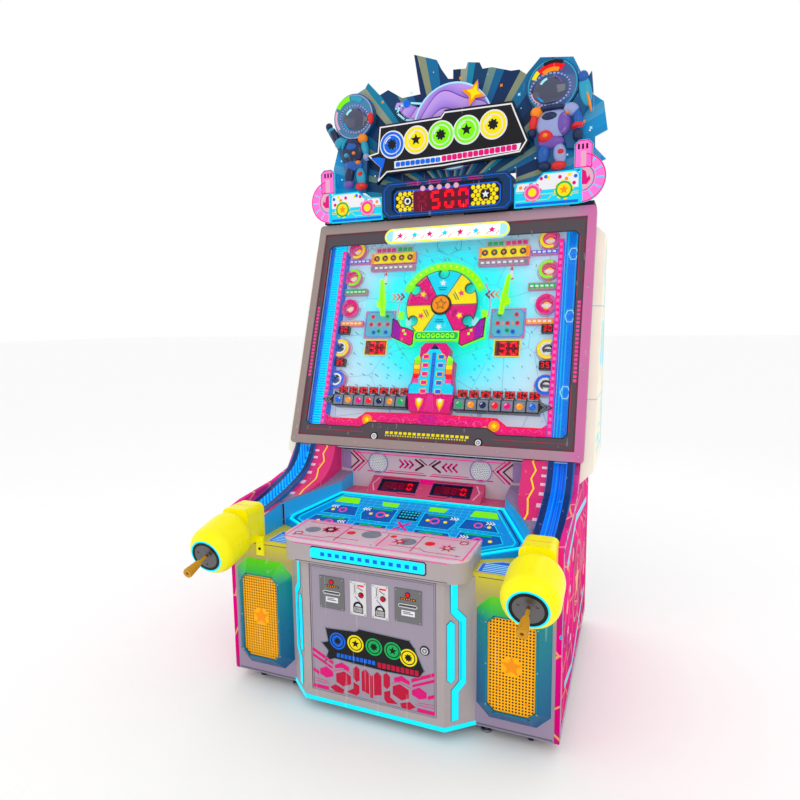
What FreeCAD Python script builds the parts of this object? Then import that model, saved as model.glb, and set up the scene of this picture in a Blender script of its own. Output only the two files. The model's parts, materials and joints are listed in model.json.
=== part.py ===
import FreeCAD, Part
import math
import os

V = FreeCAD.Vector

# Two-player ball-launching arcade cabinet, millimetres. X right, Y towards the back, Z up.
# While modelling, Y = 0 is the front face of the wings; export moves the origin to the
# middle of the footprint, on the floor.

# Cabinet
cabinet_width = 1326.0
cabinet_depth = 1015.0
board = 18.0                # side, back and floor boards
floor_gap = 49.0            # underside of the cabinet above the floor
wing_top = 620.0            # ledge on the wings
ledge_depth = 205.0
sheet = 8.0                 # thinner boards and folded covers
touch_gap = 2.0             # visible gap between a door and what it closes on
fit_gap = 0.3               # printed ramps on their walls
deck_gap = 1.0              # deck panel beside the curved walls
running_gap = 0.05          # radial clearance of a pin in its bore

# Console with the coin door, between the wings
console_half = 279.0        # half width of the flat front
console_root = 369.0        # half width where the chamfered corners meet the wings
console_reach = 77.0        # how far the flat front stands out
console_wall = 12.0
head_bottom = 605.0
head_top = 680.0
head_half = 360.0
head_reach = 95.0
head_back = 112.0
head_corner = 60.0
head_wall = 15.0
top_board = 12.0
base_light = 15.0

# Coin door
coin_door_left = -246.0
coin_door_right = 248.0
coin_door_bottom = 95.0
coin_door_top = 592.0
pin_radius = 3.0
pin_reach = 15.0
pin_inset = 6.0             # pin axis from the hinge edge and from the outer face
hinge_side_gap = 4.0
acceptor_width = 64.0
acceptor_height = 127.0
acceptor_left_edges = (-78.0, 8.4)
acceptor_bottom = 427.0
ticket_width = 101.0
ticket_height = 124.0
ticket_left_edges = (-204.0, 97.0)
ticket_bottom = 432.0
plate = 3.0
lock_radius = 9.5
coin_lock_x = 208.0
coin_lock_z = 340.0

# Speakers in the wings
speaker_x = 503.5
speaker_z = 316.5
bezel_half_width = 130.0
bezel_half_height = 225.0
bezel_face_half_width = 93.0
bezel_face_half_height = 178.0
bezel_reach = 40.0
bezel_chamfer = 48.0
grille_half_width = 82.0
grille_half_height = 172.0
grille_chamfer = 24.0
cone_radius = 72.0
small_speaker_x = 245.0
small_speaker_z = 833.0
small_cone_radius = 44.0

# Leaning glass door; v runs up the slope, w out of it, from the door's bottom front edge
lean_angle = 19.0
door_foot_y = 497.4
door_foot_z = 918.2
door_half = 676.0
door_length = 1119.0
door_depth = 45.0
door_corner = 18.0
rim_side = 36.0
rim_bottom = 40.0
rim_top = 49.0
bezel_drop = 6.0            # bezel face below the rim face
bezel_sheet = 4.0
glass_sheet = 6.0
glass_half = 605.0
glass_low = 94.0
glass_high = 1005.0
glass_corner = 17.0
glass_lap = 30.0
hinge_knuckle = 5.0
hinge_pin = 2.5
hinge_leaf = 2.0
hinge_set_back = 8.0
top_light_half = 305.0
top_light_low = 993.0
top_light_high = 1070.0
door_lock_x = 243.0
door_lock_v = 54.0

# Playfield on the same slope
field_w = -77.0             # face of the playfield board
field_board = 12.0
field_front = -19.0         # tallest fittings end just behind the glass
fitting_w = -50.0           # low fittings
lane_inner = 522.0
lane_wall = 23.0
lane_outer = 618.0
wheel_v = 695.0
wheel_radius = 173.0
wheel_back = -60.0
wheel_front = -45.0
hub_radius = 48.0
shaft_radius = 6.0
ball_pocket_radius = 24.0
arc_inner = 180.0
arc_outer = 215.0
arc_start_angle = 23.0
flipper_x = 309.0
flipper_v = 703.0
flipper_pin = 5.0
nail_radius = 2.0
nail_pitch = 64.0
nail_row = 52.0

# Launch tracks and launchers
track_inner = 539.0
track_outer = 645.0
track_channel = (564.0, 616.0)
track_start_y = 50.0
track_start_top = 720.0
track_start_floor = 683.0
track_angles = (6.0, 20.0, 71.0)
track_floor = 8.0
launcher_x = 589.0
launcher_y = -235.0
launcher_z = 633.0
launcher_tilt = 14.0
barrel_radius = 93.0
barrel_mouth = 66.0
bore_radius = 20.0
end_plate_radius = 59.0
end_plate_depth = 10.0
rod_radius = 6.0
grip_reach = 104.0
grip_tip = 17.0
plunger_travel = 60.0
collar_front = -62.0
collar_back = 50.0
collar_top = 762.0
collar_inner = 527.0

# Deck between the tracks
deck_back_y = 442.0
deck_back_z = 713.0
deck_side_y = 213.0
deck_side_z = 655.0
deck_back_half = 377.0
deck_side_half = 508.0
speaker_panel_y = 565.0
speaker_panel_top = 885.0
score_half = 266.0

# Marquee
base_low = 1984.0
base_high = 1998.0
base_front = 880.0
marquee_low = 1982.0
marquee_lip_back = 848.0
marquee_back = 960.0
display_half = 320.0
display_front = 830.0
display_top = 2148.0
side_box_front = 838.0
side_box_outer = 603.0
ring_radius = 103.0
ring_x = 608.0
fan_front = 880.0
fan_sheet = 12.0

# Sides, floor and back
fin_reach = 50.0
fin_low = 824.0
fin_high = 1889.0
fin_top_chamfer = 37.0
fin_skin = 4.0
foot_x = 399.0
caster_x = 560.0
foot_rows = (56.0, 950.0)
caster_wheel_radius = 19.0
caster_axle_z = 21.5
caster_width = 18.0
caster_axle = 3.0
service_half = 250.0
service_low = 150.0
service_high = 850.0
service_sheet = 12.0
inlet_x = -450.0
inlet_z = 150.0

half = cabinet_width / 2
inner = half - board
slope_sin = math.sin(math.radians(lean_angle))
slope_cos = math.cos(math.radians(lean_angle))
tilt_sin = math.sin(math.radians(launcher_tilt))
tilt_cos = math.cos(math.radians(launcher_tilt))
hinge_v = door_length + hinge_leaf + hinge_knuckle
front_most = launcher_y - grip_reach * tilt_cos - grip_tip * tilt_sin
back_most = cabinet_depth + plate
origin_y = (front_most + back_most) / 2


def box(x0, x1, y0, y1, z0, z1):
    return Part.makeBox(x1 - x0, y1 - y0, z1 - z0, V(x0, y0, z0))


def face_of(points):
    return Part.Face(Part.makePolygon(points + [points[0]]))


def prism_yz(outline, x0, x1):
    return face_of([V(x0, y, z) for y, z in outline]).extrude(V(x1 - x0, 0, 0))


def prism_xz(outline, y0, y1):
    return face_of([V(x, y0, z) for x, z in outline]).extrude(V(0, y1 - y0, 0))


def prism_xy(outline, z0, z1):
    return face_of([V(x, y, z0) for x, y in outline]).extrude(V(0, 0, z1 - z0))


def rod(x, y, z, direction, radius, length):
    return Part.makeCylinder(radius, length, V(x, y, z), direction)


def fused(shapes):
    whole = shapes[0]
    for shape in shapes[1:]:
        whole = whole.fuse(shape)
    return whole.removeSplitter()


def mirrored(shape):
    return shape.mirror(V(0, 0, 0), V(1, 0, 0))


def both_sides(shape):
    return [shape, mirrored(shape)]


def chamfered_rect(half_width, half_height, chamfer, x=0.0, z=0.0):
    w, h, c = half_width, half_height, chamfer
    corners = [(w - c, -h), (w, c - h), (w, h - c), (w - c, h), (c - w, h), (-w, h - c), (-w, c - h), (c - w, -h)]
    return [(x + a, z + b) for a, b in corners]


def symmetric(right_side):
    return right_side + [(-x, z) for x, z in reversed(right_side) if x != 0.0]


# A point on the slope, as (y, z)
def on_slope(v, w):
    return (door_foot_y + v * slope_sin - w * slope_cos, door_foot_z + v * slope_cos + w * slope_sin)


# Moves a shape drawn flat (x, v, w) onto the slope
def leaned(shape):
    turned = shape.copy()
    turned.rotate(V(0, 0, 0), V(1, 0, 0), 90 - lean_angle)
    turned.translate(V(0, door_foot_y, door_foot_z))
    return turned


def slab(outline, w0, w1):
    return prism_xy(outline, w0, w1)


def stud(x, v, w0, w1, radius):
    return rod(x, v, w0, V(0, 0, 1), radius, w1 - w0)


# Two tangent arcs from start to end whose slopes are the three angles
def ramp_arcs(start, end, angles):
    a0, a1, a2 = [math.radians(a) for a in angles]
    first, second = (a0 + a1) / 2, (a1 + a2) / 2
    dy, dz = end[0] - start[0], end[1] - start[1]
    cross = math.cos(first) * math.sin(second) - math.cos(second) * math.sin(first)
    run = (dy * math.sin(second) - dz * math.cos(second)) / cross
    joint = (start[0] + run * math.cos(first), start[1] + run * math.sin(first))
    return [arc_points(start, joint, a0, a1), arc_points(joint, end, a1, a2)]


# Start, middle and end of an arc whose end slopes are known
def arc_points(start, end, a0, a1):
    dy, dz = end[0] - start[0], end[1] - start[1]
    turn = (a1 - a0) / 2
    sag = math.hypot(dy, dz) / 2 * math.tan(turn / 2)
    bearing = (a0 + a1) / 2
    middle = ((start[0] + end[0]) / 2 + sag * math.sin(bearing), (start[1] + end[1]) / 2 - sag * math.cos(bearing))
    return start, middle, end


# Solid between an upper and a lower ramp, from x0 to x1
def ramp_solid(upper, lower, x0, x1):
    def edge(points):
        return Part.Arc(*[V(x0, y, z) for y, z in points]).toShape()

    def line(a, b):
        return Part.LineSegment(V(x0, *a), V(x0, *b)).toShape()

    top = [edge(points) for points in upper]
    bottom = [edge(points) for points in lower]
    ends = [line(upper[-1][2], lower[-1][2]), line(lower[0][0], upper[0][0])]
    wire = Part.Wire(Part.__sortEdges__(top + bottom + ends))
    return Part.Face(wire).extrude(V(x1 - x0, 0, 0))


def track_end(w, drop=3.0):
    return on_slope(-drop, w)


def track_top():
    return ramp_arcs((track_start_y, track_start_top), track_end(0.0), track_angles)


# Cabinet ---------------------------------------------------------------------

def side_profile():
    cap = (base_low - on_slope(0, -door_depth - touch_gap)[1]) / slope_cos
    shoulder = [(0.0, 742.0), (72.0, 757.0), (308.0, 778.0), (442.0, 805.0), (519.0, 894.0)]
    slope = [on_slope(0, -door_depth - touch_gap), on_slope(cap, -door_depth - touch_gap)]
    return [(0.0, floor_gap)] + shoulder + slope + [(cabinet_depth, base_low), (cabinet_depth, floor_gap)]


def side_panel():
    return prism_yz(side_profile(), inner, half)


def console_outline(inset=0.0):
    slant = math.atan2(console_reach, console_root - console_half)
    front = inset - console_reach
    shift = inset * math.tan(slant / 2)
    root = console_root - inset / math.sin(slant)
    return [(-root, 0.0), (-console_half + shift, front), (console_half - shift, front), (root, 0.0)]


def bottom_plate():
    floor = box(-inner, inner, board, cabinet_depth - board, floor_gap, floor_gap + board)
    tongue = prism_xy(console_outline(console_wall) + [(300.0, board), (-300.0, board)], floor_gap, floor_gap + board)
    return fused([floor, tongue])


def back_panel():
    back = box(-inner, inner, cabinet_depth - board, cabinet_depth, floor_gap, base_low)
    back = back.cut(box(-service_half, service_half, 0, 2 * cabinet_depth, service_low, service_high))
    back = back.cut(box(inlet_x - 25, inlet_x + 25, 0, 2 * cabinet_depth, inlet_z - 15, inlet_z + 15))
    x, y = service_axis()
    low_pin = rod(x, y, service_low, V(0, 0, 1), pin_radius, pin_reach)
    high_pin = rod(x, y, service_high, V(0, 0, -1), pin_radius, pin_reach)
    return fused([back, low_pin, high_pin])


def service_axis():
    return hinge_side_gap + pin_inset - service_half, cabinet_depth - pin_inset


def service_door():
    left, right = hinge_side_gap - service_half, service_half - touch_gap
    low, high = service_low + touch_gap, service_high - touch_gap
    door = box(left, right, cabinet_depth - service_sheet, cabinet_depth, low, high)
    x, y = service_axis()
    bore = pin_radius + running_gap
    door = door.cut(rod(x, y, low, V(0, 0, 1), bore, pin_reach))
    door = door.cut(rod(x, y, high, V(0, 0, -1), bore, pin_reach))
    slots = [box(-120, 120, 0, 2 * cabinet_depth, z, z + 6) for z in range(640, 760, 24)]
    return door.cut(slots)


def wing_front():
    x0 = console_outline(console_wall)[3][0]
    front = box(x0, inner, 0, board, floor_gap, wing_top)
    ledge = box(head_half, inner, 0, ledge_depth, wing_top - sheet, wing_top)
    hole = rod(speaker_x, -1, speaker_z, V(0, 1, 0), cone_radius, board + 2)
    front = front.cut(box(0, head_half, -1, board + 1, head_bottom, wing_top + 1))
    return fused([front.cut(hole), ledge])


def speaker_bezel():
    def ring(half_width, half_height, chamfer, y):
        outline = chamfered_rect(half_width, half_height, chamfer, speaker_x, speaker_z)
        return Part.makePolygon([V(x, y, z) for x, z in outline + outline[:1]])

    base = ring(bezel_half_width, bezel_half_height, bezel_chamfer, 0)
    face = ring(bezel_face_half_width, bezel_face_half_height, grille_chamfer + 6, -bezel_reach)
    body = Part.makeLoft([base, face], True, True)
    mouth = chamfered_rect(grille_half_width, grille_half_height, grille_chamfer, speaker_x, speaker_z)
    return body.cut(prism_xz(mouth, -2 * bezel_reach, 1))


def speaker_grille():
    outline = chamfered_rect(grille_half_width, grille_half_height, grille_chamfer, speaker_x, speaker_z)
    return prism_xz(outline, 8 - bezel_reach, 10 - bezel_reach)


# A loudspeaker on the back of a board whose rear face is at y
def loudspeaker(x, y, z, radius):
    profile = [(radius * 0.2, 4), (radius * 0.95, 0), (radius * 1.12, 0), (radius * 1.12, 4), (radius, 4)]
    profile += [(radius * 0.5, radius * 0.55), (radius * 0.5, radius * 0.85), (0, radius * 0.85), (0, 4)]
    wire = face_of([V(r, 0, d) for r, d in profile])
    body = wire.revolve(V(0, 0, 0), V(0, 0, 1), 360)
    body.rotate(V(0, 0, 0), V(1, 0, 0), -90)
    body.translate(V(x, y, z))
    return body


# Console ---------------------------------------------------------------------

def console_band(outer_inset, z0, z1):
    outer = console_outline(outer_inset)
    return prism_xy(outer + list(reversed(console_outline(console_wall))), z0, z1)


def console_shell():
    shell = console_band(0, floor_gap + base_light, head_bottom)
    gap = touch_gap
    doorway = box(coin_door_left - hinge_side_gap, coin_door_right + gap, -2 * console_reach, 0,
                  coin_door_bottom - gap, coin_door_top + gap)
    shell = shell.cut(doorway)
    x, y = coin_axis()
    low_pin = rod(x, y, coin_door_bottom - gap, V(0, 0, 1), pin_radius, pin_reach)
    high_pin = rod(x, y, coin_door_top + gap, V(0, 0, -1), pin_radius, pin_reach)
    return fused([shell, low_pin, high_pin])


def head_block(grow, z0, z1):
    block = box(-head_half - grow, head_half + grow, -head_reach - grow, head_back, z0, z1)
    corners = [e for e in block.Edges if is_vertical(e) and e.CenterOfMass.y < 0]
    return block.makeFillet(head_corner + grow, corners)


def is_vertical(edge):
    ends = [v.Point for v in edge.Vertexes]
    return len(ends) == 2 and abs(ends[0].x - ends[1].x) + abs(ends[0].y - ends[1].y) < 1e-6


def console_head():
    head = head_block(0, head_bottom, head_top)
    hollow = head_block(-head_wall, head_bottom + sheet, head_top + 1)
    hollow = hollow.common(box(-2 * head_half, 2 * head_half, -2 * head_reach, head_back - head_wall, 0, 2 * head_top))
    return head.cut(hollow)


def console_top():
    return head_block(3.0, head_top, head_top + top_board)


# Lit strips on the right chamfered corner, as (distance along the chamfer, height)
chamfer_strips = [
    [(27, 85), (53, 85), (53, 191), (82, 220), (82, 461), (50, 498), (50, 600), (24, 600), (24, 489), (56, 452),
     (56, 230), (27, 201)],
    [(24, 228), (38, 241), (38, 445), (24, 459), (10, 446), (10, 242)],
]
strip_proud = 3.0


def chamfer_strip(outline):
    dx, dy = console_root - console_half, console_reach
    length = math.hypot(dx, dy)
    ux, uy = dx / length, dy / length
    corner = [V(console_half + s * ux, s * uy - console_reach, z) for s, z in outline]
    return face_of(corner).extrude(V(uy * strip_proud, -ux * strip_proud, 0))


def console_lights():
    sign = prism_xz(chamfered_rect(222, 19, 4, -7, 647), -head_reach - strip_proud, -head_reach)
    base = console_band(-strip_proud, floor_gap, floor_gap + base_light)
    strips = []
    for outline in chamfer_strips:
        strips += both_sides(chamfer_strip(outline))
    return [sign, base] + strips


def coin_axis():
    return coin_door_left + pin_inset - 1.0, pin_inset - console_reach


def mech_box(x0, z0, width, height, depth, grow=0.0):
    front = -console_reach
    edge = 6.0 - grow
    return box(x0 + edge, x0 + width - edge, front, front + depth, z0 + edge, z0 + height - edge)


acceptor_depth = 57.0
ticket_depth = 60.0
cup_half = 16.0
cup_low = 12.0
cup_height = 18.0
cup_depth = 16.0
button_radius = 7.0
button_x = 44.0
button_z = 78.0
button_travel = 4.0


def coin_door():
    y0, y1 = -console_reach, -console_reach + console_wall
    door = box(coin_door_left, coin_door_right, y0, y1, coin_door_bottom, coin_door_top)
    for x0 in acceptor_left_edges:
        door = door.cut(mech_box(x0, acceptor_bottom, acceptor_width, acceptor_height, 99, 1.0))
    for x0 in ticket_left_edges:
        door = door.cut(mech_box(x0, ticket_bottom, ticket_width, ticket_height, 99, 1.0))
    door = door.cut(rod(coin_lock_x, y0 - 1, coin_lock_z, V(0, 1, 0), lock_radius + 0.3, 30))
    x, y = coin_axis()
    bore = pin_radius + running_gap
    door = door.cut(rod(x, y, coin_door_bottom, V(0, 0, 1), bore, pin_reach))
    return door.cut(rod(x, y, coin_door_top, V(0, 0, -1), bore, pin_reach))


def coin_acceptor(x0):
    front = -console_reach
    face = box(x0, x0 + acceptor_width, front - plate, front, acceptor_bottom, acceptor_bottom + acceptor_height)
    body = mech_box(x0, acceptor_bottom, acceptor_width, acceptor_height, acceptor_depth)
    slot_z = acceptor_bottom + 84.0
    slot = box(x0 + 18, x0 + 21.4, front - plate - 1, front + 30, slot_z, slot_z + 30)
    cup_x = x0 + acceptor_width / 2
    cup_z = acceptor_bottom + cup_low
    cup = box(cup_x - cup_half, cup_x + cup_half, front - plate - 1, front - plate + cup_depth, cup_z, cup_z + cup_height)
    well = rod(x0 + button_x, front - plate - 1, acceptor_bottom + button_z, V(0, 1, 0), button_radius + 0.4, 22)
    return fused([face, body]).cut([slot, cup, well])


def coin_return_button(x0):
    start = -console_reach - plate - button_travel - 2
    button = rod(x0 + button_x, start, acceptor_bottom + button_z, V(0, 1, 0), button_radius, 20)
    return button.makeFillet(1.2, [button.Edges[0], button.Edges[2]])


def ticket_outlet(x0):
    front = -console_reach
    face = box(x0, x0 + ticket_width, front - plate, front, ticket_bottom, ticket_bottom + ticket_height)
    body = mech_box(x0, ticket_bottom, ticket_width, ticket_height, ticket_depth)
    slot_z = ticket_bottom + 62.0
    slot = box(x0 + 18, x0 + ticket_width - 18, front - plate - 1, front + 40, slot_z, slot_z + 3.4)
    return fused([face, body]).cut(slot)


def cam_lock(radius, grip, cam_from, cam_length):
    flange = rod(0, 0, 0, V(0, 0, 1), radius + 3.5, 4)
    barrel = rod(0, 0, -grip, V(0, 0, 1), radius, grip)
    cam = box(-7, cam_length, -7, 7, cam_from, cam_from + 3)
    key_slot = box(-1, 1, -4, 4, 1, 5)
    return fused([flange, barrel, cam]).cut(key_slot)


def coin_door_lock():
    lock = cam_lock(lock_radius, 17.0, -17.0, 60.0)
    lock.rotate(V(0, 0, 0), V(1, 0, 0), 90)
    lock.rotate(V(0, 0, 0), V(0, 1, 0), 90)
    lock.translate(V(coin_lock_x, -console_reach, coin_lock_z))
    return lock


# Deck ------------------------------------------------------------------------

deck_fall = (deck_back_z - deck_side_z) / (deck_back_y - deck_side_y)


def deck_height(y):
    return deck_back_z + (y - deck_back_y) * deck_fall


def sloped_band(y0, y1, top0, top1, thickness, reach=700.0):
    return prism_yz([(y0, top0 - thickness), (y1, top1 - thickness), (y1, top1), (y0, top0)], -reach, reach)


def deck_panel():
    front = (head_half - sheet, head_back)
    corner = (deck_side_half + sheet, deck_side_y - 19)
    right = [front, corner, (corner[0], deck_back_y)]
    plan = prism_xy(right + [(-x, y) for x, y in reversed(right)], 0, 1000)
    deck = plan.common(sloped_band(0, 600, deck_height(0), deck_height(600), sheet))
    lip = prism_xy([front, corner, (corner[0], corner[1] + sheet), (front[0], front[1] + sheet)], wing_top, 1000)
    lip = lip.common(sloped_band(0, 600, deck_height(0), deck_height(600), 300))
    return fused([deck] + both_sides(lip)).cut(both_sides(wall_plan(-deck_gap, 0, 1000)))


# Curved inner side of the deck, seen from above: a straight run beside the score panel, then an
# arc that opens towards the player
def wall_plan(offset, z0, z1):
    x = offset
    back_y = speaker_panel_y
    bend_y = deck_back_y + 4
    end_x, end_y = track_inner - 9.0, 172.0
    side_x = deck_back_half + x
    tip = V(end_x, end_y - 0.5 * x, z0)
    bend = V(side_x, bend_y, z0)
    arc = Part.Arc(bend, V(452 + x, 322, z0), tip).toShape()
    corners = [tip, V(end_x, back_y, z0), V(side_x, back_y, z0), bend]
    lines = [Part.LineSegment(a, b).toShape() for a, b in zip(corners, corners[1:])]
    return Part.Face(Part.Wire(Part.__sortEdges__([arc] + lines))).extrude(V(0, 0, z1 - z0))


gutter_start = (172.0, 722.0)
gutter_end = (speaker_panel_y, 783.0)


def gutter_height(y):
    (y0, z0), (y1, z1) = gutter_start, gutter_end
    return z0 + (y - y0) * (z1 - z0) / (y1 - y0)


def deck_wall():
    low = wing_top
    region = wall_plan(0, low, 900)
    wall = region.cut(wall_plan(sheet, low - 1, 901))
    under = prism_yz([(100, low), (600, low), (600, gutter_height(600)), (100, gutter_height(100))], 0, 700)
    top = region.common(sloped_band(100, 600, gutter_height(100), gutter_height(600), sheet))
    return fused([wall.common(under), top])


def track_skirt():
    end_y = gutter_start[0] + 16
    top = [(end_y, gutter_height(end_y)), (gutter_start[0], track_start_top + 8), (track_start_y, track_start_top - 6)]
    return prism_yz([(track_start_y, wing_top), (end_y, wing_top)] + top, track_inner - 9.0, track_inner)


cheek_half = 436.0
cheek_start = (190.0, 726.0)


def below_gutter():
    return prism_yz([(100, 500), (700, 500), (700, gutter_height(700)), (100, gutter_height(100))], 0, 700)


# Plan of the printed ramp beside the track, shifted sideways by offset
def cheek_plan(offset):
    y, x = cheek_start[0], track_inner
    arc = Part.Arc(V(x + offset, y, 0), V(455 + offset, 330, 0), V(cheek_half + offset, 455, 0)).toShape()
    corners = [V(cheek_half + offset, 455, 0), V(cheek_half + offset, speaker_panel_y, 0),
               V(x + offset, speaker_panel_y, 0), V(x + offset, y, 0)]
    lines = [Part.LineSegment(a, b).toShape() for a, b in zip(corners, corners[1:])]
    return Part.Face(Part.Wire(Part.__sortEdges__([arc] + lines))).extrude(V(0, 0, 1000))


def cheek_arcs(drop):
    start = (cheek_start[0], cheek_start[1] - drop)
    return ramp_arcs(start, track_end(-10.0 - drop), (9.0, 20.0, track_angles[2]))


# Everything under the printed ramp, back to the speaker panel
def under_cheek():
    arcs = cheek_arcs(sheet + fit_gap)
    tail = [arcs[-1][2], track_end(field_w), (speaker_panel_y, 500.0), (cheek_start[0], 500.0), arcs[0][0]]
    edges = [Part.Arc(*[V(0, y, z) for y, z in points]).toShape() for points in arcs]
    edges += [Part.LineSegment(V(0, *a), V(0, *b)).toShape() for a, b in zip(tail, tail[1:])]
    return Part.Face(Part.Wire(Part.__sortEdges__(edges))).extrude(V(track_inner, 0, 0))


# Printed ramp that rises beside the track, and its upright inner edge
def ramp_cheek():
    ramp = ramp_solid(cheek_arcs(0), cheek_arcs(sheet), cheek_half, track_inner).common(cheek_plan(0))
    edge = cheek_plan(0).cut(cheek_plan(sheet)).common(under_cheek())
    return both_sides(ramp.cut(below_gutter())) + both_sides(edge.cut(below_gutter()))


def score_panel():
    shelf_z = deck_back_z
    shelf = box(-deck_back_half, deck_back_half, deck_back_y, speaker_panel_y, shelf_z - sheet, shelf_z)
    wedge = [(464, shelf_z), (464, shelf_z + 2), (speaker_panel_y, 774), (speaker_panel_y, shelf_z)]
    block = prism_yz(wedge, -score_half, score_half)
    hollow = prism_yz([(484, shelf_z - 20), (484, shelf_z + 6), (speaker_panel_y - 6, 764), (speaker_panel_y - 6, 700)],
                      6 - score_half, score_half - 6)
    windows = []
    for side in (-1, 1):
        windows.append(box(side * 125 - 88, side * 125 + 88, 400, 700, 0, 3))
    body = fused([shelf, block]).cut(hollow)
    slope = math.degrees(math.atan2(774 - shelf_z - 2, speaker_panel_y - 464))
    for window in windows:
        window.translate(V(0, -400, -3))
        window = window.common(box(-300, 300, 28, 92, -5, 5))
        window.rotate(V(0, 0, 0), V(1, 0, 0), slope)
        window.translate(V(0, 464, shelf_z + 2))
        body = body.cut(window)
    return body


def speaker_panel():
    low = deck_back_z - sheet
    panel = box(-cheek_half, cheek_half, speaker_panel_y, speaker_panel_y + board * 2 / 3, low, speaker_panel_top)
    holes = [rod(side * small_speaker_x, speaker_panel_y - 1, small_speaker_z, V(0, 1, 0), small_cone_radius, 30)
             for side in (-1, 1)]
    return panel.cut(holes)


def speakers():
    small_y = speaker_panel_y + board * 2 / 3
    large = both_sides(loudspeaker(speaker_x, board, speaker_z, cone_radius))
    small = both_sides(loudspeaker(small_speaker_x, small_y, small_speaker_z, small_cone_radius))
    return large + small


# Tracks and launchers --------------------------------------------------------

def launch_track():
    floor_end = field_w + 9.0
    deep = (track_start_y, track_start_floor - track_floor)
    upper = track_top()
    lower = ramp_arcs(deep, track_end(floor_end - track_floor), track_angles)
    body = ramp_solid(upper, lower, track_inner, track_outer)
    clearance = [tuple((y, z + 40) for y, z in points) for points in track_top()]
    floor = ramp_arcs((track_start_y, track_start_floor), track_end(floor_end), track_angles)
    groove = ramp_solid(clearance, floor, *track_channel)
    return body.cut(groove)


# Axis frame of a launcher: z runs from the end plate back into the cabinet
def on_launcher(shape):
    turned = shape.copy()
    turned.rotate(V(0, 0, 0), V(1, 0, 0), launcher_tilt - 90)
    turned.translate(V(launcher_x, launcher_y, launcher_z))
    return turned


def launcher_housing():
    r = barrel_radius
    nose = Part.Arc(V(barrel_mouth, 0, 0), V(r - 8, 0, 18), V(r, 0, 52)).toShape()
    shoulder = Part.Arc(V(r, 0, 138), V(r - 9, 0, 168), V(r - 31, 0, 188)).toShape()
    corners = [V(r - 31, 0, 188), V(0, 0, 188), V(0, 0, 0), V(barrel_mouth, 0, 0)]
    lines = [Part.LineSegment(a, b).toShape() for a, b in zip(corners, corners[1:])]
    side = Part.LineSegment(V(r, 0, 52), V(r, 0, 138)).toShape()
    face = Part.Face(Part.Wire(Part.__sortEdges__([nose, side, shoulder] + lines)))
    barrel = on_launcher(face.revolve(V(0, 0, 0), V(0, 0, 1), 360))
    collar = box(collar_inner, inner, collar_front, collar_back, wing_top, collar_top)
    rounded = [e for e in collar.Edges if abs(e.CenterOfMass.z - collar_top) < 1e-6 and abs(e.tangentAt(0).y) > 0.9]
    collar = collar.makeFillet(26, rounded)
    foot = box(collar_inner - 30, collar_inner + 4, -sheet, 0, wing_top - 58, wing_top + 20)
    whole = fused([barrel, collar, foot])
    mouth = on_launcher(rod(0, 0, -1, V(0, 0, 1), end_plate_radius, end_plate_depth + 1))
    bore = on_launcher(rod(0, 0, 0, V(0, 0, 1), bore_radius, 400))
    return whole.cut([mouth, bore])


def end_plate():
    disc = rod(0, 0, -2, V(0, 0, 1), end_plate_radius, end_plate_depth + 2)
    recess = rod(0, 0, -3, V(0, 0, 1), end_plate_radius, 3).cut(rod(0, 0, -4, V(0, 0, 1), 48, 5))
    hole = rod(0, 0, -5, V(0, 0, 1), rod_radius + running_gap, 30)
    screws = [rod(33 * math.cos(a), 33 * math.sin(a), -3, V(0, 0, 1), 5, 3)
              for a in [math.radians(90 + 120 * k) for k in range(3)]]
    return on_launcher(disc.cut([recess, hole] + screws))


spring_length = 47.0
head_z = 150.0
head_length = 16.0


def plunger():
    shaft = rod(0, 0, -40, V(0, 0, 1), rod_radius, head_z + 40)
    head = rod(0, 0, head_z, V(0, 0, 1), bore_radius - 0.4, head_length)
    grip = Part.makeCone(grip_tip, 11, grip_reach - 38, V(0, 0, -grip_reach), V(0, 0, 1))
    socket = rod(0, 0, -grip_reach - 1, V(0, 0, 1), 6, 20)
    handle = fused([shaft, head, grip]).cut(socket)
    coil = rod(0, 0, head_z - spring_length, V(0, 0, 1), 12, spring_length)
    spring = coil.cut(rod(0, 0, 0, V(0, 0, 1), rod_radius + 1.5, 300))
    return [on_launcher(handle), on_launcher(spring)]


# Glass door ------------------------------------------------------------------

def rounded_slab(half_width, v0, v1, radius, w0, w1):
    block = box(-half_width, half_width, v0, v1, w0, w1)
    return block.makeFillet(radius, [e for e in block.Edges if is_vertical(e)])


hinge_moving = ((-560.0, -400.0), (-80.0, 80.0), (400.0, 560.0))
hinge_fixed = ((-398.0, -250.0), (250.0, 398.0))


# Four rails: two full-height sides, and the bottom and top between them
def door_frame():
    outer = rounded_slab(door_half, 0, door_length, door_corner, -door_depth, 0)
    rail = door_half - rim_side
    sides = both_sides(outer.common(box(rail, door_half, 0, door_length, -99, 9)))
    bottom = box(-rail, rail, 0, rim_bottom, -door_depth, 0)
    top = [box(-rail, rail, door_length - rim_top, door_length, -door_depth, 0)]
    for x0, x1 in hinge_moving:
        top.append(box(x0, x1, door_length, door_length + hinge_leaf, -40, -hinge_set_back + 2))
        top.append(box(x0, x1, door_length, hinge_v, -hinge_set_back - 4, -hinge_set_back + 2))
        top.append(rod(x0, hinge_v, -hinge_set_back, V(1, 0, 0), hinge_knuckle, x1 - x0))
    bore = rod(-600, hinge_v, -hinge_set_back, V(1, 0, 0), hinge_pin + running_gap, 1200)
    return [leaned(shape) for shape in sides + [bottom, fused(top).cut(bore)]]


def bezel_opening():
    c = glass_corner
    right = [(275.0, glass_low + 24), (320.0, glass_low - 2), (glass_half - c, glass_low), (glass_half, glass_low + c)]
    right += [(glass_half, glass_high - c), (glass_half - c, glass_high)]
    return right + [(-x, v) for x, v in reversed(right)]


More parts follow.
